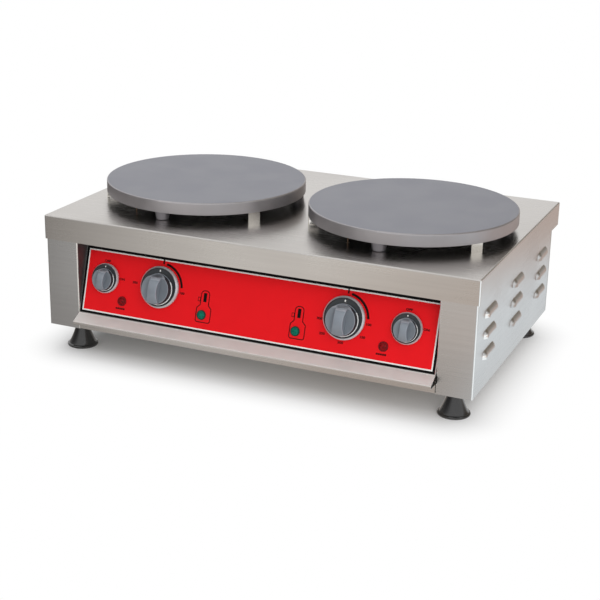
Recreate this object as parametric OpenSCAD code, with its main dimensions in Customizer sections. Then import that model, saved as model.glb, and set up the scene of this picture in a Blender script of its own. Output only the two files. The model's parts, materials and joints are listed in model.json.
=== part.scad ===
// Electric crepe maker with two round plates on one folded sheet-metal body.
// +X is to the right, +Y to the back and +Z up, as seen by the cook at the control panel.
// The origin lies on the worktop, under the middle of the machine.

/* [Crepe plates] */
// Diameter of a crepe plate
plate_d = 400; // [350:1:420]
// Height of a crepe plate at its rim
plate_h = 23.5; // [22.5:0.5:30]
// Thickness of the plate's cooking surface
plate_t = 9.5; // [8:0.5:10]
// Thickness of the plate's rim
rim_t = 9; // [7:0.5:12]
// Gap between the rims of the two plates
plate_gap = 41; // [24:1:80]
// Height of the pegs that carry a plate above the cover
peg_h = 16.5; // [12:0.5:30]
// Radius of a peg at its top
peg_r = 15; // [12:0.5:17]
// Width of a plate clip
clip_w = 25; // [16:1:34]

/* [Cover] */
// Width of the cover between a plate's rim and the cover's side
side_margin = 14.5; // [8:0.5:50]
// Depth of the cover in front of the plates' rims
front_margin = 65; // [50:1:100]
// Depth of the cover behind the plates' rims
rear_margin = 94; // [80:1:160]
// Height of the skirt that hangs down all round the cover
skirt_h = 47; // [34:1:56]
// Thickness of the stainless sheet
sheet = 1.2; // [0.8:0.1:1.6]
// Outside radius of a fold in the sheet
fold_r = 2.6; // [2:0.1:4]

/* [Body] */
// Height of the body, from its lower edge to the top of the cover
body_h = 222; // [205:1:260]
// How far the cover reaches out past the rear panel
rear_overhang = 40; // [10:1:70]
// Step from the cover's side to the body's side
side_inset = 3; // [2.5:0.1:8]
// Clearance between the front skirt and the front posts
skirt_fit = 0.6; // [0.3:0.1:2]
// Width of the two front posts
post_w = 68; // [60:1:90]
// Depth of the post's return, which closes the side of the control bay
post_return = 84; // [78:1:110]
// Width of the flanges that join the sheets
flange = 20; // [14:1:26]
// Clearance between sheets that slide past each other when fitted
sheet_fit = 0.5; // [0.3:0.1:1]

/* [Louvres] */
// Louvres side by side in each side panel
louvre_cols = 3; // [1:1:3]
// Louvres above each other in each side panel
louvre_rows = 3; // [1:1:3]
// Length of a louvre
louvre_l = 72; // [50:1:90]
// Radius that the louvre is pressed to
louvre_r = 18; // [14:0.5:21]
// How far the louvre stands out from the side
louvre_out = 6.5; // [4:0.5:8]
// How far the louvre's mouth lies below its middle line
louvre_mouth = 1.5; // [1:0.5:6]
// Spacing of the louvres from front to back
louvre_pitch_y = 181; // [120:1:200]
// Spacing of the louvres up the side
louvre_pitch_z = 39; // [34:1:44]
// Height of the middle row above the body's lower edge
louvre_mid_z = 99; // [95:1:115]
// How far the louvres sit behind the middle of the side
louvre_back = 6.5; // [0:0.5:10]

/* [Control panel] */
// Lean of the control panel, from upright
panel_tilt = 17; // [10:1:22]
// Height of the fold between panel and lip above the body's lower edge
lip_z = 35; // [32:1:50]
// How far the lip stands out in front of the skirt
lip_reach = 23; // [16:1:32]
// How far the lip falls from the fold to its nose
lip_drop = 12; // [8:1:16]
// Height of the lip's upright nose
nose_h = 6.5; // [4:0.5:8]
// Height of the printed overlay
overlay_h = 130; // [122:1:132]
// Thickness of the overlay
overlay_t = 0.4; // [0.3:0.1:1]
// Margin between the overlay and the edges of the panel
overlay_margin = 1.5; // [1:0.5:4]

/* [Controls] */
// Distance from the end of the panel to a switch
switch_side = 56.5; // [50:0.5:66]
// How far all controls sit left of the panel's middle
control_shift = 5.5; // [0:0.5:7]
// Distance from a switch to the thermostat beside it
control_pitch = 119; // [108:1:130]
// Height of thermostats and switches up the panel
knob_s = 74; // [68:1:78]
// Distance from a thermostat inward to its heating lamp
heat_lamp_in = 92; // [76:1:110]
// Distance from a switch inward to its power lamp
power_lamp_in = 40; // [36:0.5:44]
// Height of the lamps up the panel
lamp_s = 35; // [28:1:37]
// Diameter of a thermostat knob
thermostat_knob_d = 80; // [70:1:84]
// Height of a thermostat knob above the panel
thermostat_knob_h = 36; // [30:1:40]
// Diameter of a switch knob
switch_knob_d = 58; // [50:1:60]
// Height of a switch knob above the panel
switch_knob_h = 27; // [24:1:32]
// Gap between a knob and the panel
knob_gap = 2.5; // [1:0.1:3]
// Radius of the control spindles
spindle_r = 3; // [2.5:0.1:4]
// Running clearance of a spindle in its bush
spindle_fit = 0.05; // [0.02:0.01:0.08]
// Radius of the threaded bush of thermostats and switches
bush_r = 5; // [4.6:0.1:6]
// Radius of a lamp's bezel
lamp_r = 9.5; // [8:0.5:11]
// Radius of a lamp's barrel
lamp_barrel_r = 6; // [5:0.5:7]

/* [Heating] */
// Diameter of the element's tube
element_d = 8; // [6:0.5:8.5]
// Distance from the plate's rim to the middle of the element's outer turn
element_edge = 60; // [56:1:72]
// Distance between the element's outer and inner turn
element_pitch = 52; // [44:1:64]
// Radius of the bends at the element's cold ends
element_bend = 14; // [12:1:18]
// Thickness of the bars that clamp the element
clamp_t = 1.6; // [1.2:0.1:2]
// Thickness of the insulation disc
insulation_t = 2; // [1:0.5:2.5]
// Thickness of the heat shield
shield_t = 0.8; // [0.6:0.1:1]
// Diameter of the temperature bulb
bulb_d = 6; // [4:0.5:6.5]

/* [Feet] */
// Height of the body's lower edge above the worktop
foot_h = 51; // [40:1:80]
// Radius of a foot's sole
foot_r = 30.5; // [24:0.5:34]
// Radius of a foot's neck
foot_neck_r = 13.5; // [12:0.5:16]
// Distance of a foot's centre from the cover's side
foot_side = 48; // [42:1:60]
// Distance of a front foot's centre from the face of the posts
foot_end = 45; // [34:1:60]
// Distance of a rear foot's centre from the rear panel
rear_foot_end = 22; // [20:1:60]
// Radius of the levelling stud
stud_r = 5; // [4:0.5:6]
// Running clearance of the stud in its nut
stud_fit = 0.05; // [0.02:0.01:0.08]
// How far a foot can be screwed out
foot_travel = 10; // [4:1:14]
// Clearance between a foot's collar and the base plate
collar_gap = 0.4; // [0.3:0.1:1]

/* [Rear] */
// Radius of the hole for the mains cable in its gland
cable_r = 7; // [5:0.5:8]
// Distance of the cable gland from the side of the body
gland_side = 102; // [60:1:150]
// Height of the cable gland above the body's lower edge
gland_z = 40; // [34:1:60]
// Length of a vent slot in the rear panel
rear_vent_l = 150; // [80:1:170]
// Distance from the middle to the vent slots in the rear panel
rear_vent_x = 130; // [100:1:150]
// Length of a vent slot in the base
base_vent_l = 200; // [100:1:220]
// Distance from the middle to the vent slots in the base
base_vent_x = 190; // [150:1:200]

/* [Hidden] */
$fn = 72;

// The cut of a hole or a notch reaches this far past the sheet that it goes through.
past = 1;

// Fasteners
screw_r = 2;
screw_fit = 0.2;
screw_head_r = 4;
screw_head_h = 2;
screw_l = 8;
bolt_r = 4;
bolt_fit = 0.3;
bolt_hex_r = 7.2;
bolt_hex_h = 5.4;
washer_r = 9;
washer_t = 1.6;
bolt_head_h = bolt_hex_h + washer_t;
thread_fit = 0.05;
bolt_in = 12;

// Heights
base_z = foot_h;
cover_top = base_z + body_h;
cover_under = cover_top - sheet;
plate_under = cover_top + peg_h;
plate_top = plate_under + plate_h;
hollow_top = plate_top - plate_t;
base_top = base_z + 2 * sheet;

// Outline of the cover
cover_w = 2 * (plate_d + side_margin) + plate_gap;
cover_d = front_margin + plate_d + rear_margin;

// Places from front to back
front_y = (lip_reach - cover_d) / 2;
post_y = front_y + sheet + skirt_fit;
body_back = front_y + cover_d - rear_overhang;
body_mid_y = (post_y + body_back) / 2;
plate_y = front_y + front_margin + plate_d / 2;

// Places from left to right
body_x = cover_w / 2 - side_inset;
bay_x = body_x - post_w;
panel_x = bay_x - sheet_fit;
plate_pitch = plate_d + plate_gap;
switch_x = panel_x - switch_side;
thermostat_x = switch_x - control_pitch;
heat_lamp_x = thermostat_x - heat_lamp_in;
power_lamp_x = switch_x - power_lamp_in;
gland_x = body_x - gland_side;

// Feet: centres, mirrored left and right
foot_x = cover_w / 2 - foot_side;
foot_front_y = post_y + foot_end;
foot_rear_y = body_back - rear_foot_end;
collar_h = 5;
collar_top = base_z + sheet - collar_gap;
bell_top = collar_top - collar_h;
nut_h = 8;
stud_from = 3;
stud_top = base_top + nut_h + foot_travel + 4;

// Control panel: s runs up its face from the fold at the lip
fold_z = base_z + lip_z;
panel_top_z = cover_under - bolt_head_h - 3;
panel_s = (panel_top_z - fold_z) / cos(panel_tilt);
rail_top = fold_z - lip_drop - nose_h;
side_flange = 15;

// Places round each plate, as angles from the right-hand side
peg_angles = [-90, 30, 150];
clip_angles = [-36, 84, 204];
clamp_angles = [-150, -30, 90];
bulb_angle = -112;
plate_r = plate_d / 2;
rim_in = plate_r - rim_t;
peg_at = plate_r - peg_r;
shield_r = peg_at - peg_r - 2;
bulb_at = (shield_r + rim_in) / 2;
element_outer_r = plate_r - element_edge;
element_inner_r = element_outer_r - element_pitch;
element_z = hollow_top - element_d / 2;
element_under = hollow_top - element_d;
clamp_z = element_under - clamp_t;
insulation_z = clamp_z - insulation_t;
shield_z = insulation_z - shield_t;
cold_end_angle = 180;
cold_end_l = 24;
terminal_pin_l = 12;
terminal_pin_r = 2;
clamp_w = 22;
clamp_hub_r = 24;
clamp_nut_h = 5;
capillary_r = 1.2;
capillary_bend = 8;

// ---------- Geometry helpers ----------

function unit(v) = v / norm(v);

function turned(v) = [-v.y, v.x];

// Shift of corner i of an open path by one unit to its left, mitred
function mitre(path, i) =
    let (last = len(path) - 1,
         a = turned(unit(path[max(i, 1)] - path[max(i, 1) - 1])),
         b = turned(unit(path[min(i, last - 1) + 1] - path[min(i, last - 1)])))
    (a + b) / (1 + a * b);

function beside(path, d) = [for (i = [0 : len(path) - 1]) path[i] + d * mitre(path, i)];

// Points of the arc that rounds the corner b between a and c
function bend(a, b, c, r) =
    let (u = unit(a - b), w = unit(c - b), half = acos(u * w) / 2,
         centre = b + unit(u + w) * r / sin(half),
         p = b + u * r / tan(half) - centre, q = b + w * r / tan(half) - centre,
         from = atan2(p.y, p.x), turn = atan2(p.x * q.y - p.y * q.x, p * q), steps = 4)
    [for (k = [0 : steps]) centre + r * [cos(from + turn * k / steps), sin(from + turn * k / steps)]];

function rounded(path, r) = [
    path[0],
    for (i = [1 : len(path) - 2]) each bend(path[i - 1], path[i], path[i + 1], r),
    path[len(path) - 1]
];

function backwards(list) = [for (i = [len(list) - 1 : -1 : 0]) list[i]];

// Section of a folded sheet: the path is its outer face and the metal lies to the left of it.
module folded(path) {
    middle = rounded(beside(path, sheet / 2), fold_r - sheet / 2);
    polygon(concat(beside(middle, -sheet / 2), backwards(beside(middle, sheet / 2))));
}

// A section drawn as [y, z], drawn out from -x to +x
module along_x(half) {
    rotate([90, 0, 90]) translate([0, 0, -half]) linear_extrude(2 * half) children();
}

// A round tube through points, with bends of one radius
module pipe(points, r, bend_r) {
    last = len(points) - 1;
    for (i = [0 : last - 1]) {
        along = unit(points[i + 1] - points[i]);
        from = points[i] + (i == 0 ? 0 : 1) * trim(points, max(i, 1), bend_r) * along;
        to = points[i + 1] - (i + 1 == last ? 0 : 1) * trim(points, min(i + 1, last - 1), bend_r) * along;
        rod(from, to, r);
    }
    for (i = [1 : last - 1]) elbow(points[i - 1], points[i], points[i + 1], r, bend_r);
}

// Length that a bend takes off each leg at corner i
function trim(points, i, r) =
    let (u = unit(points[i - 1] - points[i]), w = unit(points[i + 1] - points[i])) r / tan(acos(u * w) / 2);

module rod(from, to, r) {
    v = to - from;
    translate(from) rotate([0, acos(v.z / norm(v)), atan2(v.y, v.x)])
        cylinder(h = norm(v), r = r, $fn = 24);
}

module elbow(a, b, c, r, bend_r) {
    u = unit(a - b);
    w = unit(c - b);
    half = acos(u * w) / 2;
    centre = b + unit(u + w) * bend_r / sin(half);
    from = unit(b + u * bend_r / tan(half) - centre);
    to = unit(b + w * bend_r / tan(half) - centre);
    axis = unit(cross(from, to));
    side = cross(axis, from);
    multmatrix([
        [from.x, side.x, axis.x, centre.x], [from.y, side.y, axis.y, centre.y],
        [from.z, side.z, axis.z, centre.z], [0, 0, 0, 1]
    ])
        rotate_extrude(angle = 180 - 2 * half) translate([bend_r, 0]) circle(r = r, $fn = 24);
}

// A slot with round ends, lying along x
module slot(length, width) {
    square([length - width, width], center = true);
    for (x = [-1, 1]) translate([x * (length - width) / 2, 0]) circle(d = width);
}

// The control panel's own frame: x to the right, y up its face, z out of it
module on_panel(x, s) {
    translate([x, front_y, fold_z]) rotate([90 - panel_tilt, 0, 0]) translate([0, s, 0]) children();
}

// Children set at a control: x is its distance from the middle of the controls
module on_control(x, s) {
    on_panel(x - control_shift, s) children();
}

module at_plate(side) { translate([side * plate_pitch / 2, plate_y, 0]) children(); }

module at_foot(side, y) { translate([side * foot_x, y, 0]) children(); }

module round_plate(angles, r) { for (a = angles) rotate([0, 0, a]) translate([r, 0, 0]) children(); }

module screw(length) {
    cylinder(h = screw_head_h, r1 = screw_head_r, r2 = screw_head_r - 1);
    translate([0, 0, -length]) cylinder(h = length, r = screw_r);
}

// ---------- Sheet-metal body ----------

// Section through the edge of the cover: the bend and the skirt below it
module skirt_section() {
    intersection() {
        difference() {
            circle(r = fold_r);
            circle(r = fold_r - sheet);
        }
        square(fold_r);
    }
    translate([fold_r - sheet, fold_r - skirt_h]) square([sheet, skirt_h - fold_r]);
}

module cover_shell() {
    half_w = cover_w / 2 - fold_r;
    half_d = cover_d / 2 - fold_r;
    translate([0, 0, fold_r - sheet / 2]) cube([2 * half_w, 2 * half_d, sheet], center = true);
    for (quarter = [0 : 3]) {
        reach = quarter % 2 == 0 ? half_w : half_d;
        run = quarter % 2 == 0 ? half_d : half_w;
        rotate([0, 0, 90 * quarter]) {
            translate([reach, run, 0]) rotate([90, 0, 0]) linear_extrude(2 * run) skirt_section();
            translate([reach, run, 0]) rotate_extrude(angle = 90) skirt_section();
        }
    }
}

module top_cover() {
    color([0.8, 0.79, 0.77]) difference() {
        translate([0, front_y + cover_d / 2, cover_top - fold_r]) cover_shell();
        for (side = [-1, 1]) at_plate(side) translate([0, 0, cover_under - past]) {
            round_plate(peg_angles, peg_at) cylinder(h = sheet + 2 * past, r = bolt_r + bolt_fit);
            round_plate(clip_angles, clip_screw_at())
                cylinder(h = sheet + 2 * past, r = screw_r + screw_fit);
            cold_ends() cylinder(h = sheet + 2 * past, r = element_d / 2 + 4);
            round_plate([bulb_angle], bulb_at) cylinder(h = sheet + 2 * past, r = 4);
        }
    }
}

// Upper part of one louvre, seen from outside with its length along y
module louvre_skin(r) {
    run = louvre_l / 2 - sqrt(louvre_r * louvre_r - pow(louvre_r - louvre_out, 2));
    translate([louvre_out - louvre_r, 0, 0]) {
        rotate([90, 0, 0]) cylinder(h = 2 * run, r = r, center = true);
        for (end = [-1, 1]) translate([0, end * run, 0]) sphere(r = r);
    }
}

module louvre_space(inner) {
    translate([inner, -louvre_l, -louvre_mouth]) cube([2 * louvre_out, 2 * louvre_l, 3 * louvre_r]);
}

module louvre_hood() {
    intersection() {
        difference() {
            louvre_skin(louvre_r);
            louvre_skin(louvre_r - sheet);
        }
        louvre_space(-sheet);
    }
}

module louvre_cut() {
    intersection() {
        louvre_skin(louvre_r - sheet);
        louvre_space(-sheet - past);
    }
}

module each_louvre() {
    for (col = [0 : louvre_cols - 1], row = [0 : louvre_rows - 1])
        translate([
            body_x,
            body_mid_y + louvre_back + (col - (louvre_cols - 1) / 2) * louvre_pitch_y,
            base_z + louvre_mid_z + (row - (louvre_rows - 1) / 2) * louvre_pitch_z
        ]) children();
}

rear_screw_end = 30;
base_screw_pitch = 150;

function rear_screw_heights() =
    [for (k = [0 : 2]) base_z + rear_screw_end + k * (body_h / 2 - rear_screw_end)];

function base_screw_places() = [for (k = [-1 : 1]) body_mid_y + k * base_screw_pitch];

// Right-hand side panel with its front post; the left one is its mirror image.
module side_sheet() {
    rear_y = body_back - sheet;
    path = [
        [bay_x, post_y + post_return], [bay_x, post_y], [body_x, post_y], [body_x, rear_y],
        [body_x - flange, rear_y]
    ];
    shelf_y = post_y + fold_r;
    shelf_d = rear_y - fold_r - shelf_y;
    difference() {
        union() {
            translate([0, 0, base_z]) linear_extrude(body_h - sheet) folded(path);
            for (z = [base_z, cover_under - sheet])
                translate([body_x - flange, shelf_y, z]) cube([flange - sheet / 2, shelf_d, sheet]);
        }
        each_louvre() louvre_cut();
        // Room for the base plate under the post's return
        translate([bay_x - past, post_y + sheet, base_z - past])
            cube([sheet + 2 * past, post_return, base_top - base_z + past]);
        for (z = rear_screw_heights()) translate([body_x - flange / 2, rear_y + past, z])
            rotate([90, 0, 0]) cylinder(h = sheet + 2 * past, r = screw_r + screw_fit);
        for (y = base_screw_places()) translate([body_x - flange / 2, y, base_z - past])
            cylinder(h = sheet + 2 * past, r = screw_r + screw_fit);
    }
    each_louvre() louvre_hood();
}

module side_panel_right() { color([0.77, 0.78, 0.79]) side_sheet(); }

module side_panel_left() { color([0.77, 0.78, 0.79]) mirror([1, 0, 0]) side_sheet(); }

module rear_vents() {
    rows = 6;
    pitch = 16;
    for (side = [-1, 1], row = [0 : rows - 1])
        translate([side * rear_vent_x, base_z + body_h - 62 - pitch * row]) slot(rear_vent_l, 6);
}

module base_vents() {
    rows = 9;
    pitch = 24;
    for (side = [-1, 1], row = [0 : rows - 1])
        translate([side * base_vent_x, body_mid_y + pitch * (row - (rows - 1) / 2)]) slot(base_vent_l, 8);
}

module rear_panel() {
    color([0.72, 0.72, 0.72]) difference() {
        translate([-body_x, body_back - sheet, base_z]) cube([2 * body_x, sheet, body_h - sheet]);
        translate([0, body_back + past, 0]) rotate([90, 0, 0])
            linear_extrude(sheet + 2 * past) rear_vents();
        translate([gland_x, body_back + past, base_z + gland_z]) rotate([90, 0, 0])
            cylinder(h = sheet + 2 * past, r = gland_r() + screw_fit);
        for (side = [-1, 1], z = rear_screw_heights())
            translate([side * (body_x - flange / 2), body_back + past, z]) rotate([90, 0, 0])
                cylinder(h = sheet + 2 * past, r = screw_r + screw_fit);
    }
}

module base_plate() {
    x = body_x - sheet - sheet_fit;
    y0 = post_y + fold_r + sheet_fit;
    y1 = body_back - 2 * sheet - sheet_fit;
    color([0.66, 0.66, 0.65]) difference() {
        translate([-x, y0, base_z + sheet]) cube([2 * x, y1 - y0, sheet]);
        for (side = [-1, 1], y = [foot_front_y, foot_rear_y]) at_foot(side, y)
            translate([0, 0, base_z]) cylinder(h = 4 * sheet, r = stud_r + 0.6);
        for (side = [-1, 1], y = base_screw_places())
            translate([side * (body_x - flange / 2), y, base_z])
                cylinder(h = 4 * sheet, r = screw_r + screw_fit);
        translate([0, 0, base_z]) linear_extrude(4 * sheet) base_vents();
    }
}

// Rail across the front, under the lip
module front_rail() {
    path = [[post_y + flange, rail_top], [post_y, rail_top], [post_y, base_z], [post_y + flange, base_z]];
    color([0.7, 0.68, 0.66]) along_x(panel_x) folded(path);
}

// ---------- Control panel ----------

module control_holes(clearance) {
    for (side = [-1, 1]) {
        for (x = [thermostat_x, switch_x])
            translate([side * x - control_shift, knob_s]) circle(r = bush_r + clearance);
        for (x = [heat_lamp_x, power_lamp_x])
            translate([side * x - control_shift, lamp_s]) circle(r = lamp_barrel_r + clearance);
    }
}

module control_panel() {
    fold = [front_y, fold_z];
    top = fold + panel_s * [sin(panel_tilt), cos(panel_tilt)];
    nose = fold - [lip_reach, lip_drop];
    path = [top + [flange, 0], top, fold, nose, nose - [0, nose_h], [post_y + flange, rail_top]];
    color([0.83, 0.8, 0.78]) {
        difference() {
            along_x(panel_x) folded(path);
            on_panel(0, 0) translate([0, 0, -sheet - past])
                linear_extrude(sheet + 2 * past) control_holes(0.2);
        }
        for (side = [-1, 1])
            on_panel(side * (panel_x - sheet / 2), panel_s / 2)
                translate([0, 0, -side_flange / 2 - sheet / 2])
                    cube([sheet, panel_s - 2 * flange, side_flange], center = true);
    }
}

module panel_overlay() {
    x = panel_x - overlay_margin;
    color([0.85, 0.1, 0.12]) on_panel(0, 0) linear_extrude(overlay_t) difference() {
        translate([-x, overlay_margin]) square([2 * x, overlay_h]);
        control_holes(0.4);
    }
}

// ---------- Crepe plates and what heats them ----------

module plate_section() {
    round_r = 2.5;
    difference() {
        union() {
            translate([0, plate_under]) square([plate_r - round_r, plate_h]);
            translate([plate_r - round_r - 1, plate_under]) square([round_r + 1, plate_h - round_r]);
            translate([plate_r - round_r, plate_top - round_r]) circle(r = round_r);
        }
        translate([-1, plate_under - 1]) square([rim_in + 1, hollow_top - plate_under + 1]);
    }
}

module crepe_plate(side) {
    color([0.55, 0.56, 0.6]) at_plate(side) difference() {
        union() {
            rotate_extrude($fn = 180) plate_section();
            round_plate(peg_angles, peg_at)
                translate([0, 0, plate_under]) cylinder(h = plate_h - plate_t / 2, r = peg_r - 1);
            translate([0, 0, element_under]) cylinder(h = element_d + 1, r = 14);
        }
        round_plate(peg_angles, peg_at)
            translate([0, 0, plate_under - past]) cylinder(h = bolt_in + 1 + past, r = bolt_r + thread_fit);
        translate([0, 0, element_under - past]) cylinder(h = element_d + 3 + past, r = bolt_r + thread_fit);
    }
}

module plate_pegs(side) {
    foot = 0.83 * peg_r;
    round_r = 3;
    color([0.6, 0.6, 0.62]) at_plate(side) round_plate(peg_angles, peg_at) translate([0, 0, cover_top])
        difference() {
            union() {
                translate([0, 0, round_r]) cylinder(h = peg_h - round_r, r1 = foot, r2 = peg_r);
                cylinder(h = round_r, r = foot - round_r);
                translate([0, 0, round_r]) rotate_extrude() translate([foot - round_r, 0]) intersection() {
                    circle(r = round_r);
                    translate([0, -round_r]) square(round_r);
                }
            }
            translate([0, 0, -past]) cylinder(h = peg_h + 2 * past, r = bolt_r + bolt_fit);
        }
}

module plate_bolts(side) {
    color([0.75, 0.75, 0.76]) at_plate(side) {
        round_plate(peg_angles, peg_at) {
            translate([0, 0, cover_under - bolt_head_h]) {
                cylinder(h = bolt_hex_h, r = bolt_hex_r, $fn = 6);
                translate([0, 0, bolt_hex_h]) cylinder(h = washer_t, r = washer_r);
            }
            translate([0, 0, cover_under]) cylinder(h = plate_under + bolt_in - cover_under, r = bolt_r);
        }
    }
}

function clip_depth() = 20;

function clip_screw_at() = plate_r - clip_depth() / 2 - 2;

// Clip bent from strip: foot on the cover, upright web flush with the plate's rim, shelf under the rim
module plate_clips(side) {
    strip = 1.5;
    color([0.85, 0.85, 0.84]) at_plate(side) round_plate(clip_angles, plate_r - clip_depth()) {
        translate([0, -clip_w / 2, cover_top]) difference() {
            cube([clip_depth(), clip_w, peg_h]);
            translate([-past, -past, strip])
                cube([clip_depth() - strip + past, clip_w + 2 * past, peg_h - 2 * strip]);
            translate([clip_screw_at() - plate_r + clip_depth(), clip_w / 2, -past])
                cylinder(h = strip + 2 * past, r = screw_r + screw_fit);
        }
        translate([clip_screw_at() - plate_r + clip_depth(), 0, cover_top + strip])
            screw(strip + sheet + 6);
    }
}

// The two upright cold ends of the element, where they go down through the cover
module cold_ends() {
    for (r = [element_inner_r, element_outer_r])
        rotate([0, 0, cold_end_angle]) translate([r, -element_bend, 0]) children();
}

module heating_element(side) {
    tube = element_d / 2;
    sweep = 270;
    mean = (element_outer_r + element_inner_r) / 2;
    gap = (element_outer_r - element_inner_r) / 2;
    color([0.3, 0.29, 0.28]) at_plate(side) {
        rotate([0, 0, cold_end_angle]) {
            for (r = [element_outer_r, element_inner_r]) {
                translate([0, 0, element_z]) rotate_extrude(angle = sweep)
                    translate([r, 0]) circle(r = tube, $fn = 24);
                translate([r, 0, element_z - element_bend]) rotate([90, 0, 0]) rotate([0, -90, 0])
                    rotate_extrude(angle = 90) translate([element_bend, 0]) circle(r = tube, $fn = 24);
                translate([r, -element_bend, cover_under - cold_end_l]) {
                    cylinder(h = element_z - element_bend - cover_under + cold_end_l, r = tube, $fn = 24);
                    translate([0, 0, -terminal_pin_l]) cylinder(h = terminal_pin_l, r = terminal_pin_r);
                }
            }
            rotate([0, 0, sweep]) translate([mean, 0, element_z]) rotate_extrude(angle = 180)
                translate([gap, 0]) circle(r = tube, $fn = 24);
        }
    }
}

// Three-armed spider under the element, held by a stud and nut at the middle of the plate
module element_clamp(side) {
    reach = element_outer_r + element_d;
    color([0.7, 0.7, 0.7]) at_plate(side) {
        translate([0, 0, clamp_z]) difference() {
            union() {
                intersection() {
                    union() for (a = clamp_angles) rotate([0, 0, a]) translate([0, -clamp_w / 2, 0])
                        cube([reach, clamp_w, clamp_t]);
                    cylinder(h = clamp_t, r = reach);
                }
                cylinder(h = clamp_t, r = clamp_hub_r);
            }
            translate([0, 0, -past]) cylinder(h = clamp_t + 2 * past, r = bolt_r + bolt_fit);
        }
        translate([0, 0, shield_z - clamp_nut_h]) {
            cylinder(h = clamp_nut_h, r = bolt_hex_r, $fn = 6);
            translate([0, 0, -2]) cylinder(h = hollow_top + 4 - shield_z + clamp_nut_h, r = bolt_r);
        }
    }
}

// Disc under the element, pierced for the stud and the cold ends
module pierced_disc(side, z, thickness, r) {
    at_plate(side) translate([0, 0, z]) difference() {
        cylinder(h = thickness, r = r);
        translate([0, 0, -past]) cylinder(h = thickness + 2 * past, r = bolt_r + bolt_fit);
        rotate([0, 0, cold_end_angle]) for (r = [element_inner_r, element_outer_r])
            translate([r - element_d / 2 - 1, -element_bend - element_d, -past])
                cube([element_d + 2, element_bend + element_d + 4, thickness + 2 * past]);
    }
}

module insulation(side) {
    color([0.88, 0.86, 0.8]) pierced_disc(side, insulation_z, insulation_t, shield_r - 2);
}

module heat_shield(side) {
    color([0.6, 0.6, 0.6]) pierced_disc(side, shield_z, shield_t, shield_r);
}

function tenths(point) = [for (v = point) round(10 * v) / 10];

// Bulb under the plate, and the capillary that goes down to the thermostat
module temperature_bulb(side) {
    length = 40;
    tail = 12;
    top = tenths([
        side * plate_pitch / 2 + bulb_at * cos(bulb_angle), plate_y + bulb_at * sin(bulb_angle),
        hollow_top - bulb_d / 2
    ]);
    low = tenths([top.x, top.y, cover_under - 40]);
    back = tenths(thermostat_back() + [side * thermostat_x - control_shift, 0.7, 0]);
    color([0.72, 0.5, 0.36]) {
        rod(top + [tail, 0, 0], top + [tail + length, 0, 0], bulb_d / 2);
        pipe([
            top + [tail, 0, 0], top, low, [back.x, low.y, low.z], [back.x, low.y, back.z], back
        ], capillary_r, capillary_bend);
    }
}

// ---------- Controls ----------

thermostat_case = [44, 36, 32];
switch_case = [46, 46, 40];

// Middle of the back of a thermostat's case
function thermostat_back() =
    [0, front_y + knob_s * sin(panel_tilt) + (sheet + thermostat_case.z) * cos(panel_tilt),
     fold_z + knob_s * cos(panel_tilt) - (sheet + thermostat_case.z) * sin(panel_tilt)];

// Case behind the panel, with the bush and its nut that hold it there
module control_case(x, size) {
    on_control(x, knob_s) difference() {
        union() {
            translate([-size.x / 2, -size.y / 2, -sheet - size.z]) cube(size);
            translate([0, 0, -sheet]) cylinder(h = sheet + overlay_t + 4.6, r = bush_r);
            translate([0, 0, overlay_t]) cylinder(h = 3, r = 1.6 * bush_r, $fn = 6);
        }
        translate([0, 0, -sheet - size.z / 2]) cylinder(h = size.z, r = spindle_r + spindle_fit);
    }
}

module thermostat(side) {
    color([0.9, 0.88, 0.82]) control_case(side * thermostat_x, thermostat_case);
}

module power_switch(side) {
    color([0.2, 0.2, 0.22]) control_case(side * switch_x, switch_case);
    color([0.75, 0.7, 0.5]) on_control(side * switch_x, knob_s)
        for (x = [-0.3, 0, 0.3] * switch_case.x, y = [-0.5, 0.5] * switch_case.y)
            translate([x, y, -sheet - 0.75 * switch_case.z]) rotate([90, 0, 0])
                cylinder(h = 5, r = 2.4, center = true);
}

module spindle(x, knob_h) {
    color([0.75, 0.75, 0.75]) on_control(x, knob_s) translate([0, 0, -sheet - 15])
        cylinder(h = sheet + 15 + knob_h - 6, r = spindle_r);
}

// Skirt ring of a knob: bevelled edge and shallow dish
module knob_ring(x, d) {
    r = d / 2;
    top = knob_ring_top(d);
    band = knob_band(d);
    color([0.7, 0.72, 0.75]) on_control(x, knob_s) rotate_extrude() polygon([
        [bush_r * 1.6 + 2, knob_gap + 4], [r - 3, knob_gap + 4], [r - 3, knob_gap], [r - 0.6, knob_gap],
        [r, knob_gap + 0.8], [r, top - 3.4], [r - 0.64 * band, top], [r - 0.84 * band, top],
        [r - band, top - 0.8], [bush_r * 1.6 + 2, top - 0.8]
    ]);
}

function knob_ring_top(d) = knob_gap + 4 + 0.06 * d;

// Width of the ring's raised edge, outside the dish
function knob_band(d) = 0.0625 * d;

// Grip of a knob: a dished drum, set back from the index, with a waisted and arched bar across it
// that slopes down at the index end. The bore stays on the knob's axis.
module knob_grip(x, d, h) {
    r = 0.355 * d;
    back = 0.05 * d;
    floor_z = knob_ring_top(d) - 0.8;
    shoulder = floor_z + 0.55 * (h - floor_z);
    color([0.55, 0.58, 0.62]) on_control(x, knob_s) difference() {
        union() {
            translate([0, -back, 0]) {
                translate([0, 0, floor_z]) cylinder(h = 1.4, r = r + 0.02 * d);
                grip_drum(d, r, floor_z, shoulder);
                grip_bar(d, r, floor_z, h);
            }
            translate([0, 0, knob_gap + 4]) cylinder(h = floor_z - knob_gap - 3, r = bush_r * 1.6 + 1.8);
        }
        grip_facet(d, h, r - back, floor_z + 3);
        translate([0, 0, -past]) cylinder(h = h - 5 + past, r = spindle_r + spindle_fit);
    }
}

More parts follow.
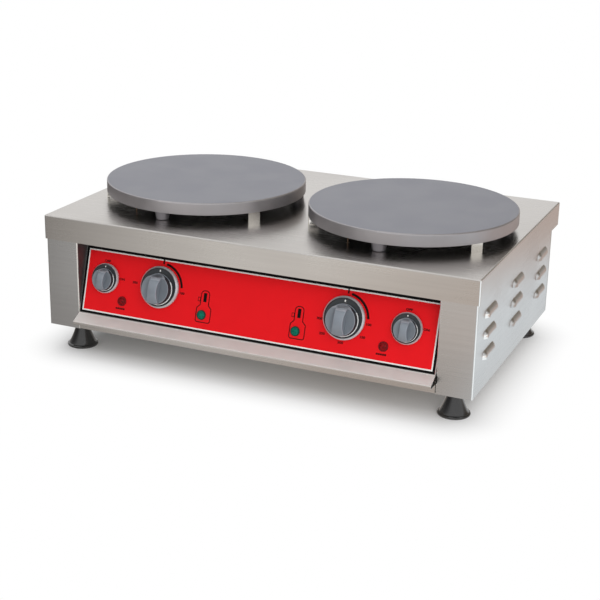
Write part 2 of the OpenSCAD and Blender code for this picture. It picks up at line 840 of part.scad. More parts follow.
// Drum of the grip, hollowed by a sphere
module grip_drum(d, r, from, to) {
    dish = 0.08 * d;
    dish_r = (pow(r - 1.2, 2) + dish * dish) / (2 * dish);
    difference() {
        translate([0, 0, from]) cylinder(h = to - from, r1 = r + 0.5, r2 = r);
        translate([0, 0, to - dish + dish_r]) sphere(r = dish_r, $fn = 180);
    }
}

// Bar of the grip: waisted from the front, arched from the side
module grip_bar(d, r, from, to) {
    waist = 0.23 * d;
    widest = 0.31 * d;
    hollow_r = 1.5 * d;
    arch_r = 0.44 * d;
    intersection() {
        translate([0, 0, from]) linear_extrude(to - from) intersection() {
            circle(r = r);
            difference() {
                square([widest, d], center = true);
                for (end = [-1, 1])
                    translate([end * (waist / 2 + hollow_r), 0]) circle(r = hollow_r, $fn = 180);
            }
        }
        translate([-d / 2, -0.04 * d, to - arch_r]) rotate([0, 90, 0])
            cylinder(h = d, r = arch_r, $fn = 180);
    }
}

// What the slope at the index end takes off the grip
module grip_facet(d, top, at, from) {
    run = 0.19 * d;
    translate([-d, at, from]) rotate([atan2(run, top - from), 0, 0]) cube([2 * d, d, 2 * d]);
}

module lamp(x, tint) {
    on_control(x, lamp_s) {
        color([0.25, 0.25, 0.26]) difference() {
            translate([0, 0, overlay_t]) cylinder(h = 2.4, r1 = lamp_r, r2 = lamp_r - 0.8);
            translate([0, 0, overlay_t + 1.2]) cylinder(h = 2.4, r = lamp_r - 2);
        }
        color(tint) {
            translate([0, 0, overlay_t + 1.2]) cylinder(h = 1.4, r = lamp_r - 2);
            translate([0, 0, overlay_t + 2.6]) intersection() {
                translate([0, 0, 3 - lamp_r]) sphere(r = lamp_r);
                cylinder(h = lamp_r, r = lamp_r - 2);
            }
        }
        color([0.85, 0.85, 0.82]) {
            translate([0, 0, -sheet - 24]) cylinder(h = sheet + 24 + overlay_t, r = lamp_barrel_r);
            translate([0, 0, -sheet - 3]) cylinder(h = 3, r = lamp_barrel_r + 3, $fn = 6);
        }
    }
}

// ---------- Rear and inside ----------

function gland_r() = cable_r + 4;

// Gland for the mains cable: hexagon, dome nut and the lock nut inside
module cable_gland() {
    color([0.16, 0.16, 0.17]) translate([gland_x, body_back, base_z + gland_z]) rotate([-90, 0, 0])
        difference() {
            union() {
                cylinder(h = 5, r = gland_r() + 5, $fn = 6);
                translate([0, 0, 5]) cylinder(h = 5, r = gland_r() + 1);
                translate([0, 0, 10]) cylinder(h = 8, r1 = gland_r() + 3, r2 = gland_r() + 1.5);
                translate([0, 0, 18]) cylinder(h = 3, r1 = gland_r() + 1.5, r2 = cable_r + 1.5);
                translate([0, 0, -sheet - 8]) cylinder(h = sheet + 8, r = gland_r());
                translate([0, 0, -sheet - 5]) cylinder(h = 5, r = gland_r() + 5, $fn = 6);
            }
            translate([0, 0, -sheet - 9]) cylinder(h = 32, r = cable_r);
        }
}

terminal_in = 90;
terminal_back = 50;

module terminal_block() {
    poles = 5;
    pitch = 12;
    translate([gland_x - terminal_in, body_back - terminal_back, base_top]) {
        color([0.9, 0.9, 0.86]) difference() {
            translate([-poles * pitch / 2, -11, 0]) cube([poles * pitch, 22, 18]);
            for (k = [0 : poles - 1], y = [-6, 6])
                translate([(k - (poles - 1) / 2) * pitch, y, 10]) cylinder(h = 9, r = 3);
        }
        color([0.8, 0.7, 0.4]) for (k = [0 : poles - 1], y = [-6, 6])
            translate([(k - (poles - 1) / 2) * pitch, y, 10]) cylinder(h = 4, r = 2.8);
    }
}

module rear_screws() {
    color([0.78, 0.78, 0.78]) for (side = [-1, 1], z = rear_screw_heights())
        translate([side * (body_x - flange / 2), body_back, z]) rotate([-90, 0, 0]) screw(screw_l);
}

module base_screws() {
    color([0.78, 0.78, 0.78]) for (side = [-1, 1], y = base_screw_places())
        translate([side * (body_x - flange / 2), y, base_z]) rotate([180, 0, 0]) screw(screw_l);
}

module foot_nuts() {
    color([0.7, 0.7, 0.68]) for (side = [-1, 1], y = [foot_front_y, foot_rear_y]) at_foot(side, y)
        translate([0, 0, base_top]) difference() {
            cylinder(h = nut_h, r = stud_r * 2, $fn = 6);
            translate([0, 0, -past]) cylinder(h = nut_h + 2 * past, r = stud_r + stud_fit);
        }
}

// ---------- Feet ----------

// Bell-shaped foot: lipped sole, hollow-curved flank, straight neck
module foot(side, y) {
    color([0.07, 0.07, 0.08]) at_foot(side, y) rotate_extrude() difference() {
        polygon([
            [0, 0], [foot_r - 1, 0], [foot_r, 1.2], [foot_r, 3.4], [foot_r - 1.6, 5], [foot_r - 3, 5.4],
            for (k = [0 : 6]) bell_flank(k / 6), [foot_neck_r, bell_top], [0, bell_top]
        ]);
        translate([0, stud_from]) square([stud_r, bell_top]);
    }
}

// Point k of the way up the flank, which bows inward a little
function bell_flank(k) =
    [foot_neck_r + (foot_r - 4 - foot_neck_r) * (1 - k) * (1 - 0.28 * k), 6 + (bell_top - 15) * k];

module stud(side, y) {
    color([0.75, 0.75, 0.76]) at_foot(side, y) {
        translate([0, 0, stud_from]) cylinder(h = stud_top - stud_from, r = stud_r);
        translate([0, 0, bell_top]) cylinder(h = collar_h, r = stud_r * 1.7, $fn = 6);
    }
}

top_cover();
side_panel_left();
side_panel_right();
rear_panel();
base_plate();
front_rail();
control_panel();
panel_overlay();
crepe_plate(-1);  // crepe_plate_left
crepe_plate(1);  // crepe_plate_right
plate_pegs(-1);  // plate_pegs_left
plate_pegs(1);  // plate_pegs_right
plate_bolts(-1);  // plate_bolts_left
plate_bolts(1);  // plate_bolts_right
plate_clips(-1);  // plate_clips_left
plate_clips(1);  // plate_clips_right
heating_element(-1);  // heating_element_left
heating_element(1);  // heating_element_right
element_clamp(-1);  // element_clamp_left
element_clamp(1);  // element_clamp_right
insulation(-1);  // insulation_left
insulation(1);  // insulation_right
heat_shield(-1);  // heat_shield_left
heat_shield(1);  // heat_shield_right
temperature_bulb(-1);  // temperature_bulb_left
temperature_bulb(1);  // temperature_bulb_right
thermostat(-1);  // thermostat_left
thermostat(1);  // thermostat_right
power_switch(-1);  // power_switch_left
power_switch(1);  // power_switch_right
lamp(-heat_lamp_x, [0, 0.45, 0.36]);  // heat_lamp_left
lamp(heat_lamp_x, [0, 0.45, 0.36]);  // heat_lamp_right
lamp(-power_lamp_x, [0.5, 0.06, 0.08]);  // power_lamp_left
lamp(power_lamp_x, [0.5, 0.06, 0.08]);  // power_lamp_right
terminal_block();
cable_gland();
foot_nuts();
rear_screws();
base_screws();
knob_grip(-thermostat_x, thermostat_knob_d, thermostat_knob_h);  // thermostat_grip_left
knob_grip(thermostat_x, thermostat_knob_d, thermostat_knob_h);  // thermostat_grip_right
knob_ring(-thermostat_x, thermostat_knob_d);  // thermostat_ring_left
knob_ring(thermostat_x, thermostat_knob_d);  // thermostat_ring_right
spindle(-thermostat_x, thermostat_knob_h);  // thermostat_spindle_left
spindle(thermostat_x, thermostat_knob_h);  // thermostat_spindle_right
knob_grip(-switch_x, switch_knob_d, switch_knob_h);  // switch_grip_left
knob_grip(switch_x, switch_knob_d, switch_knob_h);  // switch_grip_right
knob_ring(-switch_x, switch_knob_d);  // switch_ring_left
knob_ring(switch_x, switch_knob_d);  // switch_ring_right
spindle(-switch_x, switch_knob_h);  // switch_spindle_left
spindle(switch_x, switch_knob_h);  // switch_spindle_right
foot(-1, foot_front_y);  // foot_front_left
foot(1, foot_front_y);  // foot_front_right
foot(-1, foot_rear_y);  // foot_rear_left
foot(1, foot_rear_y);  // foot_rear_right
stud(-1, foot_front_y);  // stud_front_left
stud(1, foot_front_y);  // stud_front_right
stud(-1, foot_rear_y);  // stud_rear_left
stud(1, foot_rear_y);  // stud_rear_right
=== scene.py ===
"""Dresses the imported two-plate electric crepe maker.

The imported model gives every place. Sheets, plates, clips, screws, the cable gland and the inner
parts keep their own solids and get a finish here. Knobs, lamps, feet with their studs and the
print on the control panel are built as finer meshes.
"""

from __future__ import annotations

import json
import logging
import math
from collections.abc import Callable, Sequence
from dataclasses import dataclass, field
from enum import Enum, IntEnum

import bmesh
import bpy
from mathutils import Matrix, Vector

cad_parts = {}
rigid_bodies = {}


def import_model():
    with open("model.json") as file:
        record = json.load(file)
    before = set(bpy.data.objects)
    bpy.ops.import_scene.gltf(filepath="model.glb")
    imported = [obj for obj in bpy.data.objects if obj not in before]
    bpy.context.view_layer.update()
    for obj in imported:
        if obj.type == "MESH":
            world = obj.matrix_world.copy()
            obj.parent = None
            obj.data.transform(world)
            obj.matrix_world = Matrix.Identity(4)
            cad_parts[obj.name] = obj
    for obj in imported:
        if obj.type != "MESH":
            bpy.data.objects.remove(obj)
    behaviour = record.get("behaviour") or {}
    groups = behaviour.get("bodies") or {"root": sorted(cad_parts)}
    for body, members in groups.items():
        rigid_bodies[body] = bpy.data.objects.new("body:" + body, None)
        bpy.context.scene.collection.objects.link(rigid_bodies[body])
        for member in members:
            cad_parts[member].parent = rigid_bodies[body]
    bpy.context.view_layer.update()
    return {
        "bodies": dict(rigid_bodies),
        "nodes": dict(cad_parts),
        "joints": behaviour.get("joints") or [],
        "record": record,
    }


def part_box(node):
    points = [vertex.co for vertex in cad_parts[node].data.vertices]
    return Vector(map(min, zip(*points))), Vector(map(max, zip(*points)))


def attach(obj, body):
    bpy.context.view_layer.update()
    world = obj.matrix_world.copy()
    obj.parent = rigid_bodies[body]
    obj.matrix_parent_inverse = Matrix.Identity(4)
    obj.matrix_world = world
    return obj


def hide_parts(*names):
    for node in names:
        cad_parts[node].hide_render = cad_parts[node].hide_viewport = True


LOG = logging.getLogger("crepe_maker")
MM = 0.001
HOUSING = "housing"

Point = tuple[float, float]
Corner = tuple[float, float, float]
Colour = tuple[float, float, float]
Axis = tuple[float, float, float]
# A word, and its place across and up the panel in mm
Label = tuple[str, float, float]
Mesh = bmesh.types.BMesh
Socket = bpy.types.NodeSocket
FaceTest = Callable[[Vector, Vector], bool]

# Points closer than this are one point, in the unit of their mesh
TINY = 1e-5
# Edges sharper than this are rounded by soften(), in degrees
ROUND_OVER = 30.0
# Edges sharper than this stay sharp where a surface is shaded smooth, in degrees
SHARP_OVER = 32.0
# Between these, a noise changes from its lower tone to its upper one
NOISE_LOW, NOISE_HIGH = 0.3, 0.7


def in_scene(name: str, data: bpy.types.ID) -> bpy.types.Object:
    """A new object, linked to the scene."""
    thing = bpy.data.objects.new(name, data)
    bpy.context.scene.collection.objects.link(thing)
    return thing


# ---------- Outlines and meshes ----------


def arc(centre: Point, radius: float, start: float, end: float, steps: int) -> list[Point]:
    """Points on an arc.

    Args:
        centre: Middle of the arc, in mm.
        radius: Radius in mm.
        start: First angle, in degrees.
        end: Last angle, in degrees.
        steps: Number of chords.

    Returns:
        The points from start to end.
    """
    angles = [math.radians(start + (end - start) * k / steps) for k in range(steps + 1)]
    return [(centre[0] + radius * math.cos(a), centre[1] + radius * math.sin(a)) for a in angles]


def rounded(corners: Sequence[Corner], steps: int = 4) -> list[Point]:
    """Closed outline whose corners are rounded.

    Args:
        corners: (x, y, radius) of each corner, in mm; a radius of 0 leaves it sharp.
        steps: Chords per rounded corner.

    Returns:
        The points of the outline, the last one not repeating the first.
    """
    points: list[Point] = []
    for i, (x, y, radius) in enumerate(corners):
        here = Vector((x, y))
        before = (Vector(corners[i - 1][:2]) - here).normalized()
        after = (Vector(corners[(i + 1) % len(corners)][:2]) - here).normalized()
        if radius <= 0:
            points.append((x, y))
            continue
        half = before.angle(after) / 2
        centre = here + (before + after).normalized() * radius / math.sin(half)
        first = here + before * radius / math.tan(half) - centre
        last = here + after * radius / math.tan(half) - centre
        start = math.atan2(first.y, first.x)
        turn = math.atan2(first.x * last.y - first.y * last.x, first.dot(last))
        for k in range(steps + 1):
            a = start + turn * k / steps
            points.append((centre.x + radius * math.cos(a), centre.y + radius * math.sin(a)))
    return points


def band(path: Sequence[Point], width: float, closed: bool = False) -> list[list[Point]]:
    """Outline of a line of even width drawn along a path.

    Args:
        path: Points of the middle line, in mm.
        width: Width of the line, in mm.
        closed: Whether the last point joins the first.

    Returns:
        One quadrangle per stretch, mitred at the points between them.
    """
    count = len(path)
    sides: list[tuple[Point, Point]] = []
    for i in range(count):
        here = Vector(path[i])
        back = Vector(path[i - 1]) if closed or i > 0 else None
        ahead = Vector(path[(i + 1) % count]) if closed or i < count - 1 else None
        along_in = (here - back).normalized() if back is not None else (ahead - here).normalized()
        along_out = (ahead - here).normalized() if ahead is not None else along_in
        left_in, left_out = (Vector((-v.y, v.x)) for v in (along_in, along_out))
        shift = (left_in + left_out) / (1 + left_in.dot(left_out)) * width / 2
        sides.append((tuple(here + shift), tuple(here - shift)))
    last = count if closed else count - 1
    return [
        [sides[i][1], sides[(i + 1) % count][1], sides[(i + 1) % count][0], sides[i][0]]
        for i in range(last)
    ]


def lathe(profile: Sequence[Point], segments: int = 96) -> Mesh:
    """Closed solid turned round the z axis.

    Args:
        profile: Closed outline as (radius, height), in mm. Points on the axis become poles.
        segments: Steps of the full turn.

    Returns:
        The mesh, in mm.
    """
    mesh = bmesh.new()
    rings: list[list[bmesh.types.BMVert]] = []
    for radius, height in profile:
        if radius < TINY:
            rings.append([mesh.verts.new((0, 0, height))])
            continue
        turn = [2 * math.pi * k / segments for k in range(segments)]
        circle = [(radius * math.cos(a), radius * math.sin(a), height) for a in turn]
        rings.append([mesh.verts.new(point) for point in circle])
    for i, ring in enumerate(rings):
        after = rings[(i + 1) % len(rings)]
        if len(ring) == 1 and len(after) == 1:
            continue
        for k in range(segments):
            n = (k + 1) % segments
            near = [ring[k % len(ring)], ring[n % len(ring)]]
            far = [after[n % len(after)], after[k % len(after)]]
            mesh.faces.new(dict.fromkeys(near + far))
    bmesh.ops.recalc_face_normals(mesh, faces=mesh.faces)
    return mesh


def prism(outlines: Sequence[Sequence[Point]], low: float, high: float) -> Mesh:
    """Upright solids on closed outlines.

    Args:
        outlines: One closed outline per solid, in mm.
        low: Height of the lower face, in mm.
        high: Height of the upper face, in mm.

    Returns:
        The mesh, in mm.
    """
    mesh = bmesh.new()
    for outline in outlines:
        lower = [mesh.verts.new((x, y, low)) for x, y in outline]
        upper = [mesh.verts.new((x, y, high)) for x, y in outline]
        mesh.faces.new(lower)
        mesh.faces.new(upper)
        for i in range(len(outline)):
            n = (i + 1) % len(outline)
            mesh.faces.new((lower[i], lower[n], upper[n], upper[i]))
    bmesh.ops.remove_doubles(mesh, verts=mesh.verts, dist=TINY)
    bmesh.ops.recalc_face_normals(mesh, faces=mesh.faces)
    return mesh


def loft(sections: Sequence[Sequence[Axis]]) -> Mesh:
    """Closed solid through sections that have the same number of points.

    Args:
        sections: Closed sections in order, each a list of (x, y, z) in mm.

    Returns:
        The mesh, in mm.
    """
    mesh = bmesh.new()
    rows = [[mesh.verts.new(point) for point in section] for section in sections]
    for before, after in zip(rows, rows[1:], strict=False):
        for k in range(len(before)):
            n = (k + 1) % len(before)
            mesh.faces.new((before[k], before[n], after[n], after[k]))
    mesh.faces.new(rows[0])
    mesh.faces.new(rows[-1])
    bmesh.ops.recalc_face_normals(mesh, faces=mesh.faces)
    return mesh


def soften(mesh: Mesh, width: float, segments: int) -> Mesh:
    """Rounds the sharp edges of a mesh.

    Args:
        mesh: Mesh to change.
        width: Width of the rounding, in mm.
        segments: Steps of the rounding.

    Returns:
        The same mesh.
    """
    limit = math.radians(ROUND_OVER)
    edges = [e for e in mesh.edges if e.is_manifold and e.calc_face_angle(0) > limit]
    bmesh.ops.bevel(
        mesh,
        geom=edges,
        offset=width,
        segments=segments,
        profile=0.5,
        affect="EDGES",
        clamp_overlap=True,
    )
    return mesh


def cut_off(mesh: Mesh, point: Vector, normal: Vector) -> Mesh:
    """Removes what lies on the normal's side of a plane and closes the cut.

    Args:
        mesh: Mesh to change.
        point: A point of the plane, in mm.
        normal: Direction of what is removed.

    Returns:
        The same mesh.
    """
    geometry = mesh.verts[:] + mesh.edges[:] + mesh.faces[:]
    result = bmesh.ops.bisect_plane(
        mesh, geom=geometry, dist=TINY, plane_co=point, plane_no=normal, clear_outer=True
    )
    rim = [g for g in result["geom_cut"] if isinstance(g, bmesh.types.BMEdge)]
    bmesh.ops.contextual_create(mesh, geom=rim)
    bmesh.ops.recalc_face_normals(mesh, faces=mesh.faces)
    return mesh


def moved(mesh: Mesh, place: Matrix) -> Mesh:
    """The same mesh, moved by a matrix."""
    mesh.transform(place)
    return mesh


def joined(meshes: Sequence[Mesh]) -> Mesh:
    """One mesh that holds the parts of several, which are used up."""
    whole = bmesh.new()
    for part in meshes:
        scratch = bpy.data.meshes.new("scratch")
        part.to_mesh(scratch)
        part.free()
        whole.from_mesh(scratch)
        bpy.data.meshes.remove(scratch)
    return whole


# ---------- Finishes ----------


@dataclass(frozen=True)
class Edge:
    """A soft edge across a direction: nothing before its start, all past its end."""

    way: Axis
    start: float
    end: float


@dataclass(frozen=True)
class Wash:
    """A colour that lies past one edge, or past two where they meet."""

    colour: Colour
    edges: tuple[Edge, ...]
    strength: float = 1.0


class Nodes:
    """A node tree, with short ways to add its nodes and link them."""

    def __init__(self, tree: bpy.types.NodeTree) -> None:
        """Empties the tree.

        Args:
            tree: Tree of a material or of the world.
        """
        self.tree = tree
        tree.nodes.clear()

    def node(self, kind: str, **settings: object) -> bpy.types.Node:
        """Adds a node and sets its own settings."""
        node = self.tree.nodes.new(kind)
        for key, value in settings.items():
            setattr(node, key, value)
        return node

    def feed(self, socket: Socket, value: object) -> None:
        """Links a socket to another, or sets its value."""
        if isinstance(value, Socket):
            self.tree.links.new(value, socket)
        else:
            colour = socket.type == "RGBA" and len(value) == 3
            socket.default_value = (*value, 1.0) if colour else value

    def number(self, operation: str, first: object, second: object = 0.0) -> Socket:
        """Result of a number operation."""
        node = self.node("ShaderNodeMath", operation=operation)
        self.feed(node.inputs[0], first)
        self.feed(node.inputs[1], second)
        return node.outputs[0]

    def vector(self, operation: str, first: object, second: object = (0, 0, 0)) -> Socket:
        """Result of a vector operation: a number for DOT_PRODUCT and LENGTH, else a vector."""
        node = self.node("ShaderNodeVectorMath", operation=operation)
        self.feed(node.inputs[0], first)
        if node.inputs[1].enabled:
            self.feed(node.inputs[1], second)
        return node.outputs["Value" if operation in ("DOT_PRODUCT", "LENGTH") else "Vector"]

    def combine(self, x: object, y: object = 0.0, z: object = 0.0) -> Socket:
        """A vector from three numbers."""
        node = self.node("ShaderNodeCombineXYZ")
        for socket, value in zip(node.inputs, (x, y, z), strict=True):
            self.feed(socket, value)
        return node.outputs[0]

    def noise(self, vector: object, scale: float, detail: float = 2.0) -> Socket:
        """Noise from 0 to 1."""
        node = self.node("ShaderNodeTexNoise")
        self.feed(node.inputs["Vector"], vector)
        node.inputs["Scale"].default_value = scale
        node.inputs["Detail"].default_value = detail
        return node.outputs["Fac"]

    def spread(
        self, value: object, start: float, end: float, low: float = 0.0, high: float = 1.0
    ) -> Socket:
        """Maps a number from start..end softly to low..high, kept within them."""
        node = self.node("ShaderNodeMapRange", interpolation_type="SMOOTHSTEP")
        ends = {"From Min": start, "From Max": end, "To Min": low, "To Max": high}
        for key, number in ends.items():
            node.inputs[key].default_value = number
        self.feed(node.inputs["Value"], value)
        return node.outputs["Result"]

    def blend(self, factor: object, first: object, second: object) -> Socket:
        """Colour between two, by a factor."""
        node = self.node("ShaderNodeMix", data_type="RGBA")
        for number, value in ((0, factor), (6, first), (7, second)):
            self.feed(node.inputs[number], value)
        return node.outputs[2]

    def mix(self, factor: object, first: object, second: object) -> Socket:
        """Shader between two, by a factor."""
        node = self.node("ShaderNodeMixShader")
        for socket, value in zip(node.inputs, (factor, first, second), strict=True):
            self.feed(socket, value)
        return node.outputs[0]

    def washed(self, place: Socket, base: Colour, washes: Sequence[Wash]) -> Socket:
        """Colour of surroundings that change from one part to the next.

        Args:
            place: Place or direction that the washes are measured along.
            base: Colour before the first wash.
            washes: The washes, each laid over those before it.

        Returns:
            The colour.
        """
        colour: object = base
        for wash in washes:
            share: object = None
            for edge in wash.edges:
                past = self.vector("DOT_PRODUCT", place, edge.way)
                past = self.spread(past, edge.start, edge.end)
                share = past if share is None else self.number("MULTIPLY", share, past)
            if wash.strength < 1:
                share = self.number("MULTIPLY", share, wash.strength)
            colour = self.blend(share, colour, wash.colour)
        return colour

    def finish(self, kind: str, surface: Socket) -> None:
        """Adds the output node."""
        self.tree.links.new(surface, self.node(kind).inputs["Surface"])


class Graph(Nodes):
    """Node graph of one material, built round a principled shader."""

    def __init__(self, name: str) -> None:
        """Makes the material and its shader.

        Args:
            name: Name of the material.
        """
        self.material = bpy.data.materials.new(name)
        self.material.use_nodes = True
        super().__init__(self.material.node_tree)
        self.shader = self.node("ShaderNodeBsdfPrincipled")
        self.finish("ShaderNodeOutputMaterial", self.shader.outputs["BSDF"])
        self.place = self.node("ShaderNodeTexCoord")

    def set(self, **values: object) -> None:
        """Sets inputs of the principled shader, with their names in lower case and underscores."""
        named = {s.name.lower().replace(" ", "_"): s for s in self.shader.inputs}
        for key, value in values.items():
            self.feed(named[key], value)

    def tone(self, share: object, dark: Colour, light: Colour, low: float, high: float) -> None:
        """Colours the surface from dark at the low end of a noise to light at its high end."""
        self.set(base_color=self.blend(self.spread(share, low, high), dark, light))

    def wear(self, share: object, base: object, less: float, more: float) -> Socket:
        """A roughness that is less where a noise is low and more where it is high."""
        return self.number("ADD", self.spread(share, NOISE_LOW, NOISE_HIGH, -less, more), base)

    def bump(self, height: object, depth: float) -> None:
        """Raises the surface by a height from 0 to 1 times a depth in mm."""
        node = self.node("ShaderNodeBump")
        node.inputs["Strength"].default_value = 1.0
        node.inputs["Distance"].default_value = depth * MM
        self.feed(node.inputs["Height"], height)
        self.feed(self.shader.inputs["Normal"], node.outputs["Normal"])


def shade(tint: Colour, factor: float) -> Colour:
    """A colour made lighter or darker."""
    return tuple(min(1.0, c * factor) for c in tint)


def tones(tint: Colour, reach: float) -> tuple[Colour, Colour]:
    """A colour made darker and lighter by the same share."""
    return shade(tint, 1 - reach), shade(tint, 1 + reach)


@dataclass(frozen=True)
class Finish:
    """What all finishes share: a name, a tint and a roughness."""

    name: str
    tint: Colour
    roughness: float

    def material(self) -> bpy.types.Material:
        """The finish's material, made once."""
        ready = bpy.data.materials.get(self.name)
        if ready is not None:
            return ready
        graph = Graph(self.name)
        self.paint(graph)
        return graph.material

    def paint(self, graph: Graph) -> None:
        """Builds the nodes; each kind of finish has its own."""
        raise NotImplementedError


# Directions that the brushing runs square to
UPRIGHT: Axis = (0.0, 0.0, 1.0)
ACROSS_TOP: Axis = (0.0, 1.0, 0.05)
ACROSS_SLOPE: Axis = (0.0, 1.0, 0.3)


@dataclass(frozen=True)
class BrushedSteel(Finish):
    """Sheet steel with a fine directional grain, faint streaks and wiping marks.

    Hairs and streaks are each given as how much they are squeezed along the grain and how many
    there are to a metre across it.
    """

    across: Axis = ACROSS_TOP
    streak_tone: float = 0.02
    shine_stretch: float = 0.4
    hairs: Point = (0.01, 1400.0)
    streaks: Point = (0.02, 130.0)
    smears: float = 5.0
    hair_depth: float = 0.004

    def paint(self, graph: Graph) -> None:
        """Lays the grain along the sheet, turning with it at each fold."""
        graph.set(metallic=1.0, anisotropic=self.shine_stretch)
        normal, place = graph.place.outputs["Normal"], graph.place.outputs["Object"]
        along = graph.vector("NORMALIZE", graph.vector("CROSS_PRODUCT", normal, self.across))
        over = graph.vector("CROSS_PRODUCT", along, normal)
        length = graph.vector("DOT_PRODUCT", place, along)
        width = graph.vector("DOT_PRODUCT", place, over)
        hair, streak = (
            graph.noise(graph.combine(graph.number("MULTIPLY", length, squeeze), width), count, 3.0)
            for squeeze, count in (self.hairs, self.streaks)
        )
        graph.tone(streak, *tones(self.tint, self.streak_tone), NOISE_LOW, NOISE_HIGH)
        smeared = graph.wear(graph.noise(place, self.smears, 3.0), self.roughness, 0.03, 0.05)
        graph.set(roughness=graph.wear(hair, smeared, 0.02, 0.02), tangent=along)
        graph.bump(hair, self.hair_depth)


@dataclass(frozen=True)
class GroundIron(Finish):
    """Cast iron, face-turned and seasoned, with faint rings round its own middle."""

    middle: Point = (0.0, 0.0)
    metallic: float = 0.55
    gloss: float = 0.4
    rings: float = 900.0
    ring_share: float = 0.6
    grains: float = 1500.0
    blooms: float = 14.0
    depth: float = 0.03

    def paint(self, graph: Graph) -> None:
        """Turns the rings round the plate's middle and mottles the seasoning."""
        graph.set(metallic=self.metallic, specular_ior_level=self.gloss)
        place = graph.place.outputs["Object"]
        flat = graph.vector("SUBTRACT", place, (*self.middle, 0.0))
        radius = graph.vector("LENGTH", graph.vector("MULTIPLY", flat, (1.0, 1.0, 0.0)))
        height = graph.vector("DOT_PRODUCT", place, (0.0, 0.0, 1.0))
        ring = graph.noise(graph.combine(radius, height), self.rings, 2.0)
        grain = graph.noise(place, self.grains, 2.0)
        bloom = graph.noise(place, self.blooms, 4.0)
        graph.tone(bloom, shade(self.tint, 0.93), shade(self.tint, 1.06), 0.25, 0.75)
        graph.set(roughness=graph.wear(bloom, self.roughness, 0.04, 0.05))
        turned = graph.number("MULTIPLY", ring, self.ring_share)
        graph.bump(graph.number("ADD", turned, grain), self.depth)


@dataclass(frozen=True)
class Coated(Finish):
    """Painted, plated, moulded or oxidised surface with a fine grain and slight mottling."""

    metallic: float = 0.0
    coat: float = 0.0
    coat_roughness: float = 0.08
    gloss: float = 0.5
    grain: float = 900.0
    grain_depth: float = 0.01
    mottle: float = 0.05
    patch: float = 40.0

    def paint(self, graph: Graph) -> None:
        """Mottles the colour and grains the surface."""
        graph.set(metallic=self.metallic, specular_ior_level=self.gloss)
        graph.set(coat_weight=self.coat, coat_roughness=self.coat_roughness)
        place = graph.place.outputs["Object"]
        cloud = graph.noise(place, self.patch, 4.0)
        graph.tone(cloud, *tones(self.tint, self.mottle), NOISE_LOW, NOISE_HIGH)
        graph.set(roughness=graph.wear(cloud, self.roughness, 0.03, 0.04))
        graph.bump(graph.noise(place, self.grain, 2.0), self.grain_depth)


@dataclass(frozen=True)
class TintedLens(Finish):
    """Tinted plastic of a lamp, with the uneven depth of its inner face showing through."""

    deep: Colour = (0.0, 0.0, 0.0)
    gloss: float = 0.12
    coat: float = 0.06
    coat_roughness: float = 0.06
    pattern: float = 420.0
    depth: float = 0.05

    def paint(self, graph: Graph) -> None:
        """Deepens the tint in places and keeps a thin gloss over it."""
        graph.set(roughness=self.roughness, specular_ior_level=self.gloss)
        graph.set(coat_weight=self.coat, coat_roughness=self.coat_roughness)
        inner = graph.noise(graph.place.outputs["Object"], self.pattern, 1.0)
        graph.tone(inner, self.deep, self.tint, 0.35, 0.65)
        graph.bump(inner, self.depth)


@dataclass(frozen=True)
class PressedFibre(Finish):
    """Soft pressed fibre of the insulation discs."""

    squeeze: Axis = (1.0, 6.0, 1.0)
    fibres: float = 260.0
    depth: float = 0.4

    def paint(self, graph: Graph) -> None:
        """Tangles fine and coarse fibres."""
        place = graph.vector("MULTIPLY", graph.place.outputs["Object"], self.squeeze)
        fibre = graph.noise(place, self.fibres, 6.0)
        graph.set(base_color=graph.blend(fibre, shade(self.tint, 0.8), shade(self.tint, 1.05)))
        graph.set(roughness=self.roughness, sheen_weight=0.3)
        graph.bump(fibre, self.depth)


COVER_STEEL = BrushedSteel("brushed_cover", (0.56, 0.535, 0.51), 0.27, ACROSS_TOP)
SIDE_STEEL = BrushedSteel("brushed_side", (0.575, 0.575, 0.575), 0.24, UPRIGHT)
# Near-white steel: a painted highlight on the outer folds and on the control panel's end faces
EDGE_PAINTED_HIGHLIGHT = BrushedSteel("bright_edge", (0.95, 0.94, 0.92), 0.2, UPRIGHT)
# Paler, rougher copy of the cover steel: a painted soft highlight on the top fold
FOLD_PAINTED_LIGHT = BrushedSteel("soft_edge", (0.7, 0.68, 0.66), 0.6, ACROSS_TOP)
# Near-black steel: painted shade on the inner faces of the control bay
BAY_PAINTED_SHADE = BrushedSteel("dull_bay", (0.15, 0.16, 0.165), 0.5, UPRIGHT)
REAR_STEEL = BrushedSteel("brushed_rear", (0.52, 0.51, 0.49), 0.34, UPRIGHT)
BASE_STEEL = BrushedSteel("mill_base", (0.46, 0.46, 0.45), 0.4, ACROSS_TOP)
PANEL_STEEL = BrushedSteel("brushed_panel", (0.62, 0.59, 0.565), 0.24, ACROSS_SLOPE)
# Satin lip, less mirror-like than the panel steel and painted paler: painted light on its upward
# faces
LIP_SATIN_PAINTED_LIGHT = Coated("satin_lip", (0.74, 0.705, 0.68), 0.42, metallic=0.35, mottle=0.02)

INK_DEPTH = 0.004
PRINT_RED = Coated(
    "print_red", (0.84, 0.009, 0.014), 0.5, gloss=0.12, mottle=0.01, grain_depth=INK_DEPTH
)
PRINT_BLACK = Coated(
    "print_black", (0.003, 0.003, 0.003), 0.5, gloss=0.1, mottle=0.02, grain_depth=INK_DEPTH
)
PRINT_WHITE = Coated("print_white", (0.86, 0.86, 0.84), 0.4, mottle=0.02, grain_depth=INK_DEPTH)

